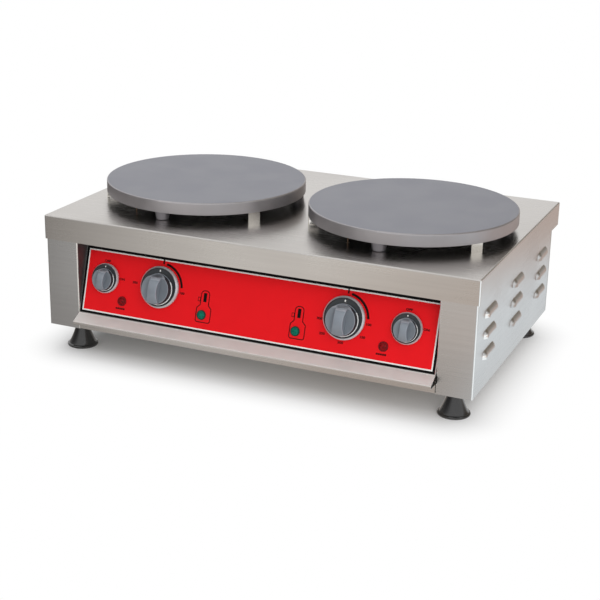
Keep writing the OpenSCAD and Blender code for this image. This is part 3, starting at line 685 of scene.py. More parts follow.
PEG_PAINT = Coated("peg_paint", (0.26, 0.25, 0.27), 0.36, metallic=0.6)
FASTENER = Coated("fastener_plate", (0.62, 0.62, 0.63), 0.28, metallic=1.0)
CLIP_STRIP = Coated("clip_strip", (0.78, 0.76, 0.71), 0.16, metallic=1.0)
# Paler, less mirror-like copy of the plate iron: painted light on the plates' rims
RIM_PAINTED_LIGHT = Coated("turned_rim", (0.43, 0.413, 0.425), 0.42, metallic=0.85, mottle=0.03)
SHEATH = Coated("oxidised_sheath", (0.09, 0.085, 0.08), 0.6, metallic=0.5, mottle=0.2)
SHIELD = Coated("darkened_shield", (0.1, 0.098, 0.1), 0.5, metallic=0.8, mottle=0.15)
FIBRE = PressedFibre("pressed_fibre", (0.85, 0.82, 0.76), 0.95)
COPPER = Coated("tarnished_copper", (0.2, 0.13, 0.09), 0.42, metallic=0.9, mottle=0.2)
ZINC = Coated("zinc_plate", (0.68, 0.68, 0.69), 0.3, metallic=1.0)

CASE_CREAM = Coated("moulded_cream", (0.82, 0.79, 0.7), 0.5)
CASE_BLACK = Coated("moulded_black", (0.03, 0.03, 0.033), 0.5)
TERMINAL = Coated("moulded_terminal", (0.85, 0.84, 0.8), 0.5)
GLAND = Coated("moulded_gland", (0.03, 0.03, 0.032), 0.45)
BLACK_POLYMER = Coated("black_polymer", (0.012, 0.012, 0.013), 0.2, coat=0.6)

KNOB_GREY = Coated("knob_grey", (0.24, 0.27, 0.31), 0.38, metallic=0.25, coat=0.2, mottle=0.03)
KNOB_SILVER = Coated("knob_silver", (0.56, 0.59, 0.62), 0.28, metallic=0.4, coat=0.2, mottle=0.03)
# Lighter copy of the knob grey: painted light on the grip's sloped facet
KNOB_FACET_PAINTED_LIGHT = Coated("knob_facet", (0.42, 0.45, 0.5), 0.4, metallic=0.1, mottle=0.03)
# Lighter copy of the knob grey: a painted highlight on the bar's rounded edges
KNOB_EDGE_PAINTED_HIGHLIGHT = Coated("knob_edge", (0.34, 0.37, 0.42), 0.35, metallic=0.25, mottle=0.03)
# Near-black: painted shade on the drum's upright wall
KNOB_WALL_PAINTED_SHADE = Coated("knob_wall", (0.035, 0.04, 0.046), 0.6, gloss=0.15)
KNOB_SHADE = Coated("knob_shade", (0.2, 0.225, 0.255), 0.5, gloss=0.3, mottle=0.03)
# Near-white: a painted highlight on the bead at the drum's foot
KNOB_BEAD_PAINTED_HIGHLIGHT = Coated("knob_bead", (0.93, 0.94, 0.95), 0.3, gloss=0.4, mottle=0.02)
KNOB_CHARCOAL = Coated("knob_charcoal", (0.022, 0.026, 0.03), 0.4, coat=0.2)

LAMP_BARREL = Coated("lamp_barrel", (0.8, 0.8, 0.77), 0.5)
GREEN_LENS = TintedLens("green_lens", (0.0, 0.19, 0.12), 0.3, deep=(0.0, 0.11, 0.075))
RED_LENS = TintedLens("red_lens", (0.29, 0.003, 0.006), 0.3, deep=(0.11, 0.001, 0.002))
GREEN_RIM = Coated("green_rim", (0.004, 0.045, 0.035), 0.35, gloss=0.3)
RED_RIM = Coated("red_rim", (0.16, 0.006, 0.008), 0.35, gloss=0.3)


# ---------- Pieces ----------


def smooth(mesh: bpy.types.Mesh) -> None:
    """Shades a mesh smooth, except over its sharp edges."""
    mesh.shade_smooth()
    mesh.set_sharp_from_angle(angle=math.radians(SHARP_OVER))


def add_piece(
    name: str,
    mesh: Mesh,
    finishes: Sequence[Finish],
    body: str,
    slot: str,
    stands_for: Sequence[str] = (),
) -> bpy.types.Object:
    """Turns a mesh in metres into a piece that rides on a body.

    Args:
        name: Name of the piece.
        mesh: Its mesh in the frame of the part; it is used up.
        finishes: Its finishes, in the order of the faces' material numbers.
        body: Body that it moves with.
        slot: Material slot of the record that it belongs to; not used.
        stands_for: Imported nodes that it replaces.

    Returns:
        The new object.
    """
    data = bpy.data.meshes.new(name)
    mesh.to_mesh(data)
    mesh.free()
    for finish in finishes:
        data.materials.append(finish.material())
    smooth(data)
    piece = in_scene(name, data)
    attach(piece, body)
    if stands_for:
        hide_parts(*stands_for)
    LOG.info("piece %s: %d faces on %s", name, len(data.polygons), body)
    return piece


def dress(node: bpy.types.Object, finish: Finish) -> None:
    """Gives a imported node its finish."""
    node.data.materials.clear()
    node.data.materials.append(finish.material())
    LOG.info("dressed %s in %s", node.name, finish.name)


def mark(node: bpy.types.Object, finish: Finish, test: FaceTest) -> None:
    """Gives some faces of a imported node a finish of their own.

    Args:
        node: The node, already dressed.
        finish: Finish of the faces that pass.
        test: Takes a face's middle, in metres, and its normal.
    """
    number = len(node.data.materials)
    node.data.materials.append(finish.material())
    for face in node.data.polygons:
        if test(face.center, face.normal):
            face.material_index = number


def tag_faces(mesh: Mesh, number: int, test: FaceTest) -> None:
    """Gives a material number to the faces whose middle and normal pass a test."""
    for face in mesh.faces:
        if test(face.calc_center_median(), face.normal):
            face.material_index = number


class Side(Enum):
    """Left or right half of the machine, as the cook sees it."""

    LEFT = -1
    RIGHT = 1

    @property
    def word(self) -> str:
        """The side as it stands in the names of nodes and bodies."""
        return self.name.lower()


@dataclass(frozen=True)
class PanelPlace:
    """The control panel's own frame: x to the right, y up its face, z out of it."""

    fold: Vector
    up: Vector
    out: Vector
    knob_up: float

    @classmethod
    def from_frame(cls, frame: dict, knob_up: float) -> PanelPlace:
        """Works the frame out from a knob's axis.

        Args:
            frame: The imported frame.
            knob_up: Height of the knobs up the panel, in mm.

        Returns:
            The panel's frame.
        """
        joint = next(j for j in frame["joints"] if j["name"] == "thermostat_turn_right")
        out = -Vector(joint["axis"]).normalized()
        up = out.cross(Vector((1.0, 0.0, 0.0)))
        fold = Vector(joint["pos_m"]) - up * knob_up * MM
        return cls(Vector((0.0, fold.y, fold.z)), up, out, knob_up)

    def at(self, x: float = 0.0, up: float = 0.0, out: float = 0.0) -> Matrix:
        """Matrix from mm on the panel, round a point of it, to metres in the part's frame."""
        origin = self.fold + Vector((x * MM, 0.0, 0.0)) + (self.up * up + self.out * out) * MM
        turn = Matrix((Vector((1.0, 0.0, 0.0)), self.up, self.out)).transposed()
        return Matrix.Translation(origin) @ (turn * MM).to_4x4()


# ---------- Sub-assemblies ----------


# How far a face's normal points along an axis: squarely, leaning to it, or as a fold begins
SQUARE = 0.9
LEANING = 0.3
FOLDED = 0.15


@dataclass
class SheetBody:
    """Folded sheets of the body, and what is fastened to them.

    The outer folds, with a painted highlight, lie within front_depth of the overlay's front, and
    the control bay's inside, with painted shade, lies within bay_margin of the overlay's ends, both
    in mm.
    """

    frame: dict
    front_depth: float = 60.0
    bay_margin: float = 5.0
    lip_rise: float = 0.7
    finishes: dict[str, Finish] = field(
        default_factory=lambda: {
            "top_cover": COVER_STEEL,
            "side_panel_left": SIDE_STEEL,
            "side_panel_right": SIDE_STEEL,
            "rear_panel": REAR_STEEL,
            "base_plate": BASE_STEEL,
            "front_rail": PANEL_STEEL,
            "control_panel": PANEL_STEEL,
            "panel_overlay": PRINT_RED,
            "foot_nuts": FASTENER,
            "terminal_block": TERMINAL,
        }
    )

    def build(self) -> None:
        """Dresses the sheets, with a painted highlight on the outer folds and painted shade in the
        bay.
        """
        nodes = self.frame["nodes"]
        for name, finish in self.finishes.items():
            dress(nodes[name], finish)
        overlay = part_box("panel_overlay")
        bay = overlay[1].x + self.bay_margin * MM
        front = overlay[0].y + self.front_depth * MM

        def outer_fold(c: Vector, n: Vector) -> bool:
            """Upright rounded edge at the front."""
            return c.y < front and n.y < -LEANING and abs(n.x) > LEANING and abs(n.z) < LEANING

        def top_fold(_: Vector, n: Vector) -> bool:
            """Rounded edge between the cover's top and its skirt."""
            return n.z > FOLDED and math.hypot(n.x, n.y) > FOLDED

        cover, control = nodes["top_cover"], nodes["control_panel"]
        panels = [nodes[f"side_panel_{side.word}"] for side in Side]
        # Painted highlight on the upright outer folds at the front
        for node in (cover, *panels):
            mark(node, EDGE_PAINTED_HIGHLIGHT, outer_fold)
        # Painted shade on the posts' inner faces inside the control bay
        for node in panels:
            mark(node, BAY_PAINTED_SHADE, lambda c, n: abs(c.x) < bay and abs(n.x) > SQUARE)
        mark(cover, SIDE_STEEL, lambda _, n: abs(n.x) > SQUARE)
        # Painted soft highlight on the fold between the cover's top and its skirt
        mark(cover, FOLD_PAINTED_LIGHT, top_fold)
        # Satin finish with painted light on the lip's upward faces
        mark(control, LIP_SATIN_PAINTED_LIGHT, lambda _, n: n.z > self.lip_rise and n.y < -LEANING)
        # Painted highlight on the control panel's end faces
        mark(control, EDGE_PAINTED_HIGHLIGHT, lambda _, n: abs(n.x) > SQUARE)


@dataclass
class CookingPlate:
    """One crepe plate with its pegs, clips, element, temperature bulb and controls.

    Its rim starts rim_from metres from its middle, where normals rise by less than rim_slope.
    """

    frame: dict
    side: Side
    iron: Colour = (0.22, 0.223, 0.255)
    iron_roughness: float = 0.42
    rim_from: float = 0.19
    rim_slope: float = 0.95
    under_slope: float = -0.6

    @property
    def middle(self) -> Point:
        """Middle of the plate seen from above, in metres."""
        low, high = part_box(f"crepe_plate_{self.side.word}")
        return ((low.x + high.x) / 2, (low.y + high.y) / 2)

    def build(self) -> None:
        """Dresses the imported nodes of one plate."""
        word, middle = self.side.word, self.middle
        iron = GroundIron(f"ground_iron_{word}", self.iron, self.iron_roughness, middle)
        finishes = {
            "crepe_plate": iron,
            "plate_pegs": PEG_PAINT,
            "plate_bolts": FASTENER,
            "plate_clips": CLIP_STRIP,
            "heating_element": SHEATH,
            "element_clamp": SHIELD,
            "insulation": FIBRE,
            "heat_shield": SHIELD,
            "temperature_bulb": COPPER,
            "thermostat": CASE_CREAM,
            "power_switch": CASE_BLACK,
            "thermostat_spindle": FASTENER,
            "switch_spindle": FASTENER,
        }
        for name, finish in finishes.items():
            dress(self.frame["nodes"][f"{name}_{word}"], finish)

        def on_rim(c: Vector, n: Vector) -> bool:
            """Outer wall of the plate and its two rounded edges."""
            return abs(n.z) < self.rim_slope and math.dist(c[:2], middle) > self.rim_from

        plate = self.frame["nodes"][f"crepe_plate_{word}"]
        # Painted light: the rim is paler than the plate's top
        mark(plate, RIM_PAINTED_LIGHT, on_rim)
        mark(plate, SHEATH, lambda _, n: n.z < self.under_slope)


class KnobKind(Enum):
    """The two kinds of knob, with their height above the panel in mm."""

    THERMOSTAT = ("thermostat", 36.0)
    SWITCH = ("switch", 27.0)

    def __init__(self, word: str, height: float) -> None:
        """Names the parts of the pair."""
        self.word = word
        self.height = height


class RingFace(IntEnum):
    """Faces of a knob's ring, in the order of its finishes."""

    SILVER = 0
    DISH = 1


class GripFace(IntEnum):
    """Faces of a knob's grip, in the order of its finishes."""

    BODY = 0
    WALL = 1
    BEAD = 2
    BOWL = 3
    FACET = 4
    EDGE = 5


RING_FINISHES = (KNOB_SILVER, KNOB_CHARCOAL)
# Facet and bar edges carry painted light, wall and bowl painted shade, the bead a painted highlight
GRIP_FINISHES = (KNOB_GREY, KNOB_WALL_PAINTED_SHADE, KNOB_BEAD_PAINTED_HIGHLIGHT, KNOB_SHADE, KNOB_FACET_PAINTED_LIGHT, KNOB_EDGE_PAINTED_HIGHLIGHT)


@dataclass
class Knob:
    """A control knob: silver skirt ring with a charcoal dish, and an arched grip set back in it.

    Sizes are in mm. Those whose name ends in _share are shares of the knob's diameter.
    """

    panel: PanelPlace
    kind: KnobKind
    side: Side
    x: float
    diameter: float
    turns: int = 128

    # Ring
    gap: float = 2.5
    hub: float = 10.0
    wall: float = 3.0
    web: float = 4.0
    dish_rise: float = 3.2
    dish_share: float = 0.06
    band_share: float = 0.0625
    lip: float = 0.8

    # Drum of the grip, whose shoulder lies a part of the way up to the bar's top
    drum_share: float = 0.355
    back_share: float = 0.05
    shoulder_part: float = 0.55
    bowl_share: float = 0.08
    bowl_rim: float = 1.2
    bead_share: float = 0.02
    bead_height: float = 1.4

    # Bar of the grip: waisted sides, arched back, and a slope at the index end
    hollow_share: float = 1.5
    waist_share: float = 0.115
    widest_share: float = 0.155
    arch_share: float = 0.44
    arch_back_share: float = 0.04
    slope_share: float = 0.19
    slope_foot: float = 3.0
    inset: float = 0.05
    edge: float = 1.1

    # Index dot
    index_share: float = 0.39
    dot: Point = (1.4, 2.1)

    @property
    def unit(self) -> float:
        """Scale of the small details: 1 on a knob of 80 mm."""
        return self.diameter / 80.0

    @property
    def dish(self) -> float:
        """Height of the charcoal dish above the panel, in mm."""
        return self.gap + self.dish_rise + self.dish_share * self.diameter

    @property
    def drum(self) -> float:
        """Radius of the grip's drum, in mm."""
        return self.drum_share * self.diameter

    @property
    def shoulder(self) -> float:
        """Height of the drum's upper edge above the panel, in mm."""
        return self.dish + self.shoulder_part * (self.kind.height - self.dish)

    @property
    def slope_low(self) -> float:
        """Height at which the slope meets the drum's wall, in mm."""
        return self.dish + self.slope_foot

    def body(self) -> str:
        """Body that the knob moves with."""
        return f"{self.kind.word}_knob_{self.side.word}"

    def name(self, part: str) -> str:
        """Name of one of the knob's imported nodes."""
        return f"{self.kind.word}_{part}_{self.side.word}"

    def ring(self) -> Mesh:
        """Skirt ring: rolled edge outside, shallow dish inside."""
        r, top, band = self.diameter / 2, self.dish + self.lip, self.band_share * self.diameter
        mesh = lathe(
            rounded([
                (self.hub, self.gap + self.web, 0.0),
                (r - self.wall, self.gap + self.web, 0.0),
                (r - self.wall, self.gap, 0.3),
                (r - 0.5, self.gap, 0.3),
                (r, self.gap + 0.8, 0.4),
                (r, top - 3.4, 1.4),
                (r - 0.66 * band, top, 0.8),
                (r - 0.84 * band, top, 0.3),
                (r - band, top - self.lip, 0.2),
                (self.hub, top - self.lip, 0.0),
            ]),
            self.turns,
        )
        inner = r - 0.6 * band
        tag_faces(mesh, RingFace.DISH, lambda c, n: n.z > 0.1 and c.xy.length < inner)
        return mesh

    def drum_mesh(self) -> Mesh:
        """Dished drum of the grip; painted shade on its wall and a painted highlight on its bead.
        """
        r, floor, top = self.drum, self.dish, self.shoulder
        depth, bowl = self.bowl_share * self.diameter, r - self.bowl_rim
        sphere = (bowl * bowl + depth * depth) / (2 * depth)
        reach = math.degrees(math.asin(bowl / sphere))
        dish = arc((0.0, top - depth + sphere), sphere, -90.0 + reach * 0.97, -90.0, 12)
        foot, bead = floor + self.bead_height, self.bead_share * self.diameter
        profile = rounded([
            (0.0, floor - 0.6, 0.0),
            (r + bead, floor - 0.6, 0.0),
            (r + bead, foot, 0.5 * self.unit),
            (r + 0.5, foot, 0.2 * self.unit),
            (r, top, 0.5 * self.unit),
            (bowl, top, 0.3 * self.unit),
            (*dish[0], 0.0),
        ])

        def on_wall(c: Vector, n: Vector) -> bool:
            """Upright wall of the drum."""
            return abs(n.z) < 0.5 and c.z < top - 0.9 and c.xy.length > bowl

        def on_bead(c: Vector, _: Vector) -> bool:
            """Part of the bead away from the index side, which gets a painted highlight."""
            return c.z < foot + 0.2 and c.y < 0.6 * r and c.xy.length > r + 0.1

        mesh = lathe([*profile[:-1], *dish], self.turns)
        # Painted shade on the drum's wall
        tag_faces(mesh, GripFace.WALL, on_wall)
        # Painted highlight on the bead, short of the index side
        tag_faces(mesh, GripFace.BEAD, on_bead)
        tag_faces(mesh, GripFace.BOWL, lambda c, n: n.z > 0.5 and c.xy.length < bowl - 0.2)
        return mesh

    def bar_section(self, y: float) -> list[Axis]:
        """Upright section of the bar across its length.

        Args:
            y: Distance from the drum's middle toward the index, in mm.

        Returns:
            Corners of the section, its two upper ones rounded.
        """
        d, r, top = self.diameter, self.drum - self.inset, self.kind.height
        hollow, arch = self.hollow_share * d, self.arch_share * d
        waist = self.waist_share * d + hollow - math.sqrt(hollow**2 - y**2)
        inside = math.sqrt(max(r * r - y * y, 0.0))
        half = max(self.inset, min(waist, self.widest_share * d, inside))
        low = self.slope_low
        slope = low + (self.drum - y) * (top - low) / (self.slope_share * d)
        arched = top - arch + math.sqrt(arch**2 - (y + self.arch_back_share * d) ** 2)
        high = min(arched, slope)
        edge = min(self.edge * self.unit, 0.7 * half)
        right = arc((half - edge, high - edge), edge, 0.0, 90.0, 4)
        left = [(-x, z) for x, z in reversed(right)]
        foot = self.dish + 0.2
        return [(x, y, z) for x, z in [(half, foot), *right, *left, (-half, foot)]]

    def grip(self) -> Mesh:
        """Drum and arched bar in one mesh, sloped at the index end."""
        r, steps = self.drum - self.inset, 40
        ends = [r * math.sin(math.radians(a)) for a in (90, 84, 78, 72, 66, 61)]
        middle = [ends[-1] * (1 - 2 * k / steps) for k in range(1, steps)]
        stations = [*ends, *middle, *(-y for y in reversed(ends))]
        bar = loft([self.bar_section(y) for y in reversed(stations)])
        rise, run = self.kind.height - self.slope_low, self.slope_share * self.diameter
        slope = Vector((0.0, rise, run)).normalized()
        drum = cut_off(self.drum_mesh(), Vector((0.0, self.drum, self.slope_low)), slope)
        grip, shoulder = joined([drum, bar]), self.shoulder

        def on_edge(c: Vector, n: Vector) -> bool:
            """Rounded upper edges of the bar, which get a painted highlight."""
            return c.z > shoulder and abs(n.x) > 0.25 and n.z > 0.25

        tag_faces(grip, GripFace.EDGE, on_edge)
        # Painted light on the sloped facet at the index end
        tag_faces(grip, GripFace.FACET, lambda _, n: n.dot(slope) > 0.97)
        return moved(grip, Matrix.Translation((0.0, -self.back_share * self.diameter, 0.0)))

    def index(self) -> Mesh:
        """White dot on the charcoal dish."""
        wide, long = (self.unit * half for half in self.dot)
        dot = [(wide * x, long * y) for x, y in arc((0, 0), 1.0, 0.0, 345.0, 23)]
        mesh = prism([dot], self.dish - 0.05, self.dish + 0.15)
        return moved(mesh, Matrix.Translation((0.0, self.index_share * self.diameter, 0.0)))

    def build(self) -> None:
        """Builds ring, grip and index, each in its place on the panel."""
        place, body = self.panel.at(self.x, self.panel.knob_up), self.body()
        parts = (
            ("ring", self.ring(), RING_FINISHES, "knob_ring", True),
            ("grip", self.grip(), GRIP_FINISHES, "knob_grip", True),
            ("index", self.index(), (PRINT_WHITE,), "knob_ring", False),
        )
        for part, mesh, finishes, slot, replaces in parts:
            node = (self.name(part),) if replaces else ()
            add_piece(self.name(f"{part}_piece"), moved(mesh, place), finishes, body, slot, node)


class LampKind(Enum):
    """What a lamp tells, with the finishes of its lens and bezel and its slot in the record."""

    HEAT = ("heat", GREEN_LENS, GREEN_RIM, "lamp_green")
    POWER = ("power", RED_LENS, RED_RIM, "lamp_red")

    def __init__(self, word: str, lens: Finish, rim: Finish, slot: str) -> None:
        """Names the parts of the entry."""
        self.word = word
        self.lens = lens
        self.rim = rim
        self.slot = slot


@dataclass
class Lamp:
    """A pilot lamp: bezel, domed lens and the barrel behind the panel. Sizes are in mm."""

    panel: PanelPlace
    kind: LampKind
    side: Side
    x: float
    up: float
    radius: float = 9.5
    bezel_height: float = 2.4
    lens_height: float = 5.4
    lens_inset: float = 2.15
    lens_step: float = 0.7
    barrel: float = 6.0
    barrel_length: float = 25.2
    nut_margin: float = 3.0
    nut: Point = (-4.2, -1.2)
    film: float = 0.4

    def bezel(self) -> Mesh:
        """Ring that stands on the print."""
        r, low = self.radius, self.film
        high = low + self.bezel_height
        corners = [
            (r - 2, low, 0.0),
            (r, low, 0.2),
            (r - 0.8, high, 0.6),
            (r - 1.9, high, 0.3),
            (r - 2.1, low + 1.2, 0.0),
        ]
        return lathe(rounded(corners), 72)

    def lens(self) -> Mesh:
        """Dome with a flat step round its foot."""
        r, sphere, low = self.radius - self.lens_inset, self.radius, self.film + 0.4
        step, rim = r - self.lens_step, self.film + self.bezel_height
        reach = math.degrees(math.asin(step / sphere))
        crown = self.film + self.lens_height
        dome = arc((0.0, crown - sphere), sphere, 90.0 - reach, 90.0, 10)
        return lathe([(0.0, low), (r, low), (r, rim - 0.2), (step, rim), *dome], 72)

    def tail(self) -> Mesh:
        """Barrel and nut behind the panel."""
        r, low, high = self.barrel, -self.barrel_length, self.film - 0.1
        barrel = lathe([(0.0, low), (r, low), (r, high), (0.0, high)], 48)
        hexagon = arc((0, 0), r + self.nut_margin, 0.0, 300.0, 5)
        return joined([barrel, soften(prism([hexagon], *self.nut), 0.4, 2)])

    def build(self) -> None:
        """Builds the lamp as three pieces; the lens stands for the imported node."""
        place, kind = self.panel.at(self.x, self.up), self.kind
        node = f"{kind.word}_lamp_{self.side.word}"
        parts = (
            ("lens", self.lens(), kind.lens, (node,)),
            ("bezel", self.bezel(), kind.rim, ()),
            ("tail", self.tail(), LAMP_BARREL, ()),
        )
        for part, mesh, finish, nodes in parts:
            add_piece(f"{node}_{part}", moved(mesh, place), (finish,), HOUSING, kind.slot, nodes)


@dataclass(frozen=True)
class ControlPlaces:
    """Where knobs and lamps stand across the panel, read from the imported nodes.

    The lamps' height up the panel is lamp_up, in mm.
    """

    lamp_up: float = 35.0

    def node(self, kind: KnobKind | LampKind, side: Side) -> str:
        """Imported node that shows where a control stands."""
        part = "ring" if isinstance(kind, KnobKind) else "lamp"
        return f"{kind.word}_{part}_{side.word}"

    def x(self, kind: KnobKind | LampKind, side: Side) -> float:
        """Distance of a control's axis from the middle of the machine, in mm."""
        low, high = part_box(self.node(kind, side))
        return (low.x + high.x) / 2 / MM

    def width(self, kind: KnobKind | LampKind, side: Side) -> float:
        """Diameter of a control, in mm."""
        low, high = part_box(self.node(kind, side))
        return (high.x - low.x) / MM


@dataclass
class PanelPrint:
    """Print on the red film: borders, dials, words and the outlines round the green lamps.

    Sizes are in mm. Words are placed from the middle of their control.
    """

    panel: PanelPlace
    controls: ControlPlaces
    low: float = 1.5
    high: float = 131.5
    film: float = 0.4
    ink: float = 0.05
    black_border: float = 4.8
    white_border: float = 2.5

    # Letters
    letter: float = 4.2
    capital_share: float = 0.7
    boldness: float = 0.06
    letter_width: float = 1.2
    switch_words: tuple[Label, ...] = (("OFF", -1.7, 33.0), ("ON", 34.5, 2.5))
    dial_start: Label = ("100", 46.0, -5.3)
    dial_end_left: Label = ("300", -56.0, 0.5)
    dial_end_right: Label = ("300", -48.5, -8.3)
    dial_numbers: tuple[Label, ...] = (
        ("150", 37.5, -29.5),
        ("200", -2.5, -45.3),
        ("250", -39.7, -34.7),
    )

    # Dial
    dial_radius: float = 47.0
    dial_narrowing: float = 0.95
    dial_drop: float = 2.0
    dial_from: float = 81.0
    dial_to: float = 8.0
    dial_line: float = 4.4
    tick_line: float = 3.2
    tick_shift: float = 0.5

    # Thermometer and dashes, with their shift from the lamp that they belong to
    sign_shift: float = 3.5
    sign_line: float = 1.6
    dash_shift: float = -2.3
    dash_drop: float = 14.5
    dash_pitch: float = 4.0
    dash: Point = (3.2, 3.4)

    @property
    def half_width(self) -> float:
        """Half the width of the film, in mm."""
        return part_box("panel_overlay")[1].x / MM

    def frame_band(self, inset: float, width: float) -> list[list[Point]]:
        """Closed band round the film, at a distance from its edge."""
        a = inset + width / 2
        x, low, high = self.half_width - a, self.low + a, self.high - a
        return band([(-x, low), (x, low), (x, high), (-x, high)], width, closed=True)

    def words(self, text: str, x: float, up: float) -> Mesh:
        """Bold letters with their middle at a point of the panel.

        Args:
            text: What is written.
            x: Middle of the word across the panel, in mm.
            up: Middle of the word up the panel, in mm.

        Returns:
            The mesh, in mm on the panel.
        """
        curve = bpy.data.curves.new("letters", "FONT")
        curve.body = text
        curve.align_x, curve.align_y = "CENTER", "CENTER"
        curve.size = self.letter / self.capital_share
        curve.extrude = self.ink / 2
        curve.offset = self.boldness * self.letter
        curve.resolution_u = 3
        carrier = in_scene("letters", curve)
        graph = bpy.context.evaluated_depsgraph_get()
        flat = bpy.data.meshes.new_from_object(carrier.evaluated_get(graph))
        mesh = bmesh.new()
        mesh.from_mesh(flat)
        bpy.data.objects.remove(carrier)
        bpy.data.curves.remove(curve)
        bpy.data.meshes.remove(flat)
        wide = Matrix.Diagonal((self.letter_width, 1.0, 1.0, 1.0))
        return moved(mesh, Matrix.Translation((x, up, self.film + self.ink / 2)) @ wide)

    def lay(self, outlines: Sequence[Sequence[Point]]) -> Mesh:
        """Flat print on closed outlines."""
        return prism(outlines, self.film - 0.02, self.film + self.ink)

    def dial(self, x: float) -> list[list[Point]]:
        """Tick over a thermostat and the thick arc that leads to its first number."""
        up, r, steps = self.panel.knob_up - self.dial_drop, self.dial_radius, 24
        tick_x = x + self.tick_shift
        tick = band([(tick_x, up + r - 1), (tick_x, up + r + 10)], self.tick_line)
        turn = self.dial_from - self.dial_to
        angles = [math.radians(self.dial_from - turn * k / steps) for k in range(steps + 1)]
        narrow = self.dial_narrowing * r
        sweep = [(x + narrow * math.cos(a), up + r * math.sin(a)) for a in angles]
        return [*tick, *band(sweep, self.dial_line)]

    def thermometer(self, x: float) -> list[list[Point]]:
        """Outline of a thermometer round a green lamp, with its column and a small box."""
        stem, bulb, foot, neck, top = 8.5, 15.0, 21.5, 48.0, 81.0
        shape = rounded([
            (x - bulb, foot, 4.0),
            (x + bulb, foot, 4.0),
            (x + bulb, neck, 4.0),
            (x + stem, neck + 6, 2.0),
            (x + stem, top, 7.0),
            (x - stem, top, 7.0),
            (x - stem, neck + 6, 2.0),
            (x - bulb, neck, 4.0),
        ])
        column = band([(x, 60.0), (x, 77.0)], 6.5)
        left, right, low, high = x - 14, x - 9.5, 60.5, 67.5
        box = band([(left, low), (right, low), (right, high), (left, high)], 1.0, closed=True)
        return [*band(shape, self.sign_line, closed=True), *column, *box]

    def dashes(self, x: float) -> list[list[Point]]:
        """Short row of dashes under a red lamp."""
        up, half = self.controls.lamp_up - self.dash_drop, self.dash[0] / 2
        middles = [x + self.dash_pitch * k for k in (-2, -1, 0, 1, 2)]
        return [band([(m - half, up), (m + half, up)], self.dash[1])[0] for m in middles]

    def labels(self, side: Side) -> list[Label]:
        """Words round one side's knobs, placed on the panel."""
        places, up = self.controls, self.panel.knob_up
        switch, dial = places.x(KnobKind.SWITCH, side), places.x(KnobKind.THERMOSTAT, side)
        left = side is Side.LEFT
        numbers = (self.dial_start, self.dial_end_left if left else self.dial_end_right)
        if not left:
            numbers += self.dial_numbers
        spots = [(switch, label) for label in self.switch_words]
        spots += [(dial, label) for label in numbers]
        return [(text, x + across, up + rise) for x, (text, across, rise) in spots]

    def build(self) -> None:
        """Lays every colour of the print as one piece."""
        black = [self.lay(self.frame_band(0.0, self.black_border))]
        white = [self.lay(self.frame_band(self.black_border, self.white_border))]
        marks: list[list[Point]] = []
        for side in Side:
            marks += self.dial(self.controls.x(KnobKind.THERMOSTAT, side))
            marks += self.thermometer(self.controls.x(LampKind.HEAT, side) + self.sign_shift)
            marks += self.dashes(self.controls.x(LampKind.POWER, side) + self.dash_shift)
            black += [self.words(*label) for label in self.labels(side)]
        black.append(self.lay(marks))
        for name, parts, ink in (
            ("print_black", black, PRINT_BLACK),
            ("print_white", white, PRINT_WHITE),
        ):
            mesh = moved(joined(parts), self.panel.at())
            add_piece(name, mesh, (ink,), HOUSING, "overlay_print")


class End(Enum):
    """Front or rear of the machine."""

    FRONT = "front"
    REAR = "rear"


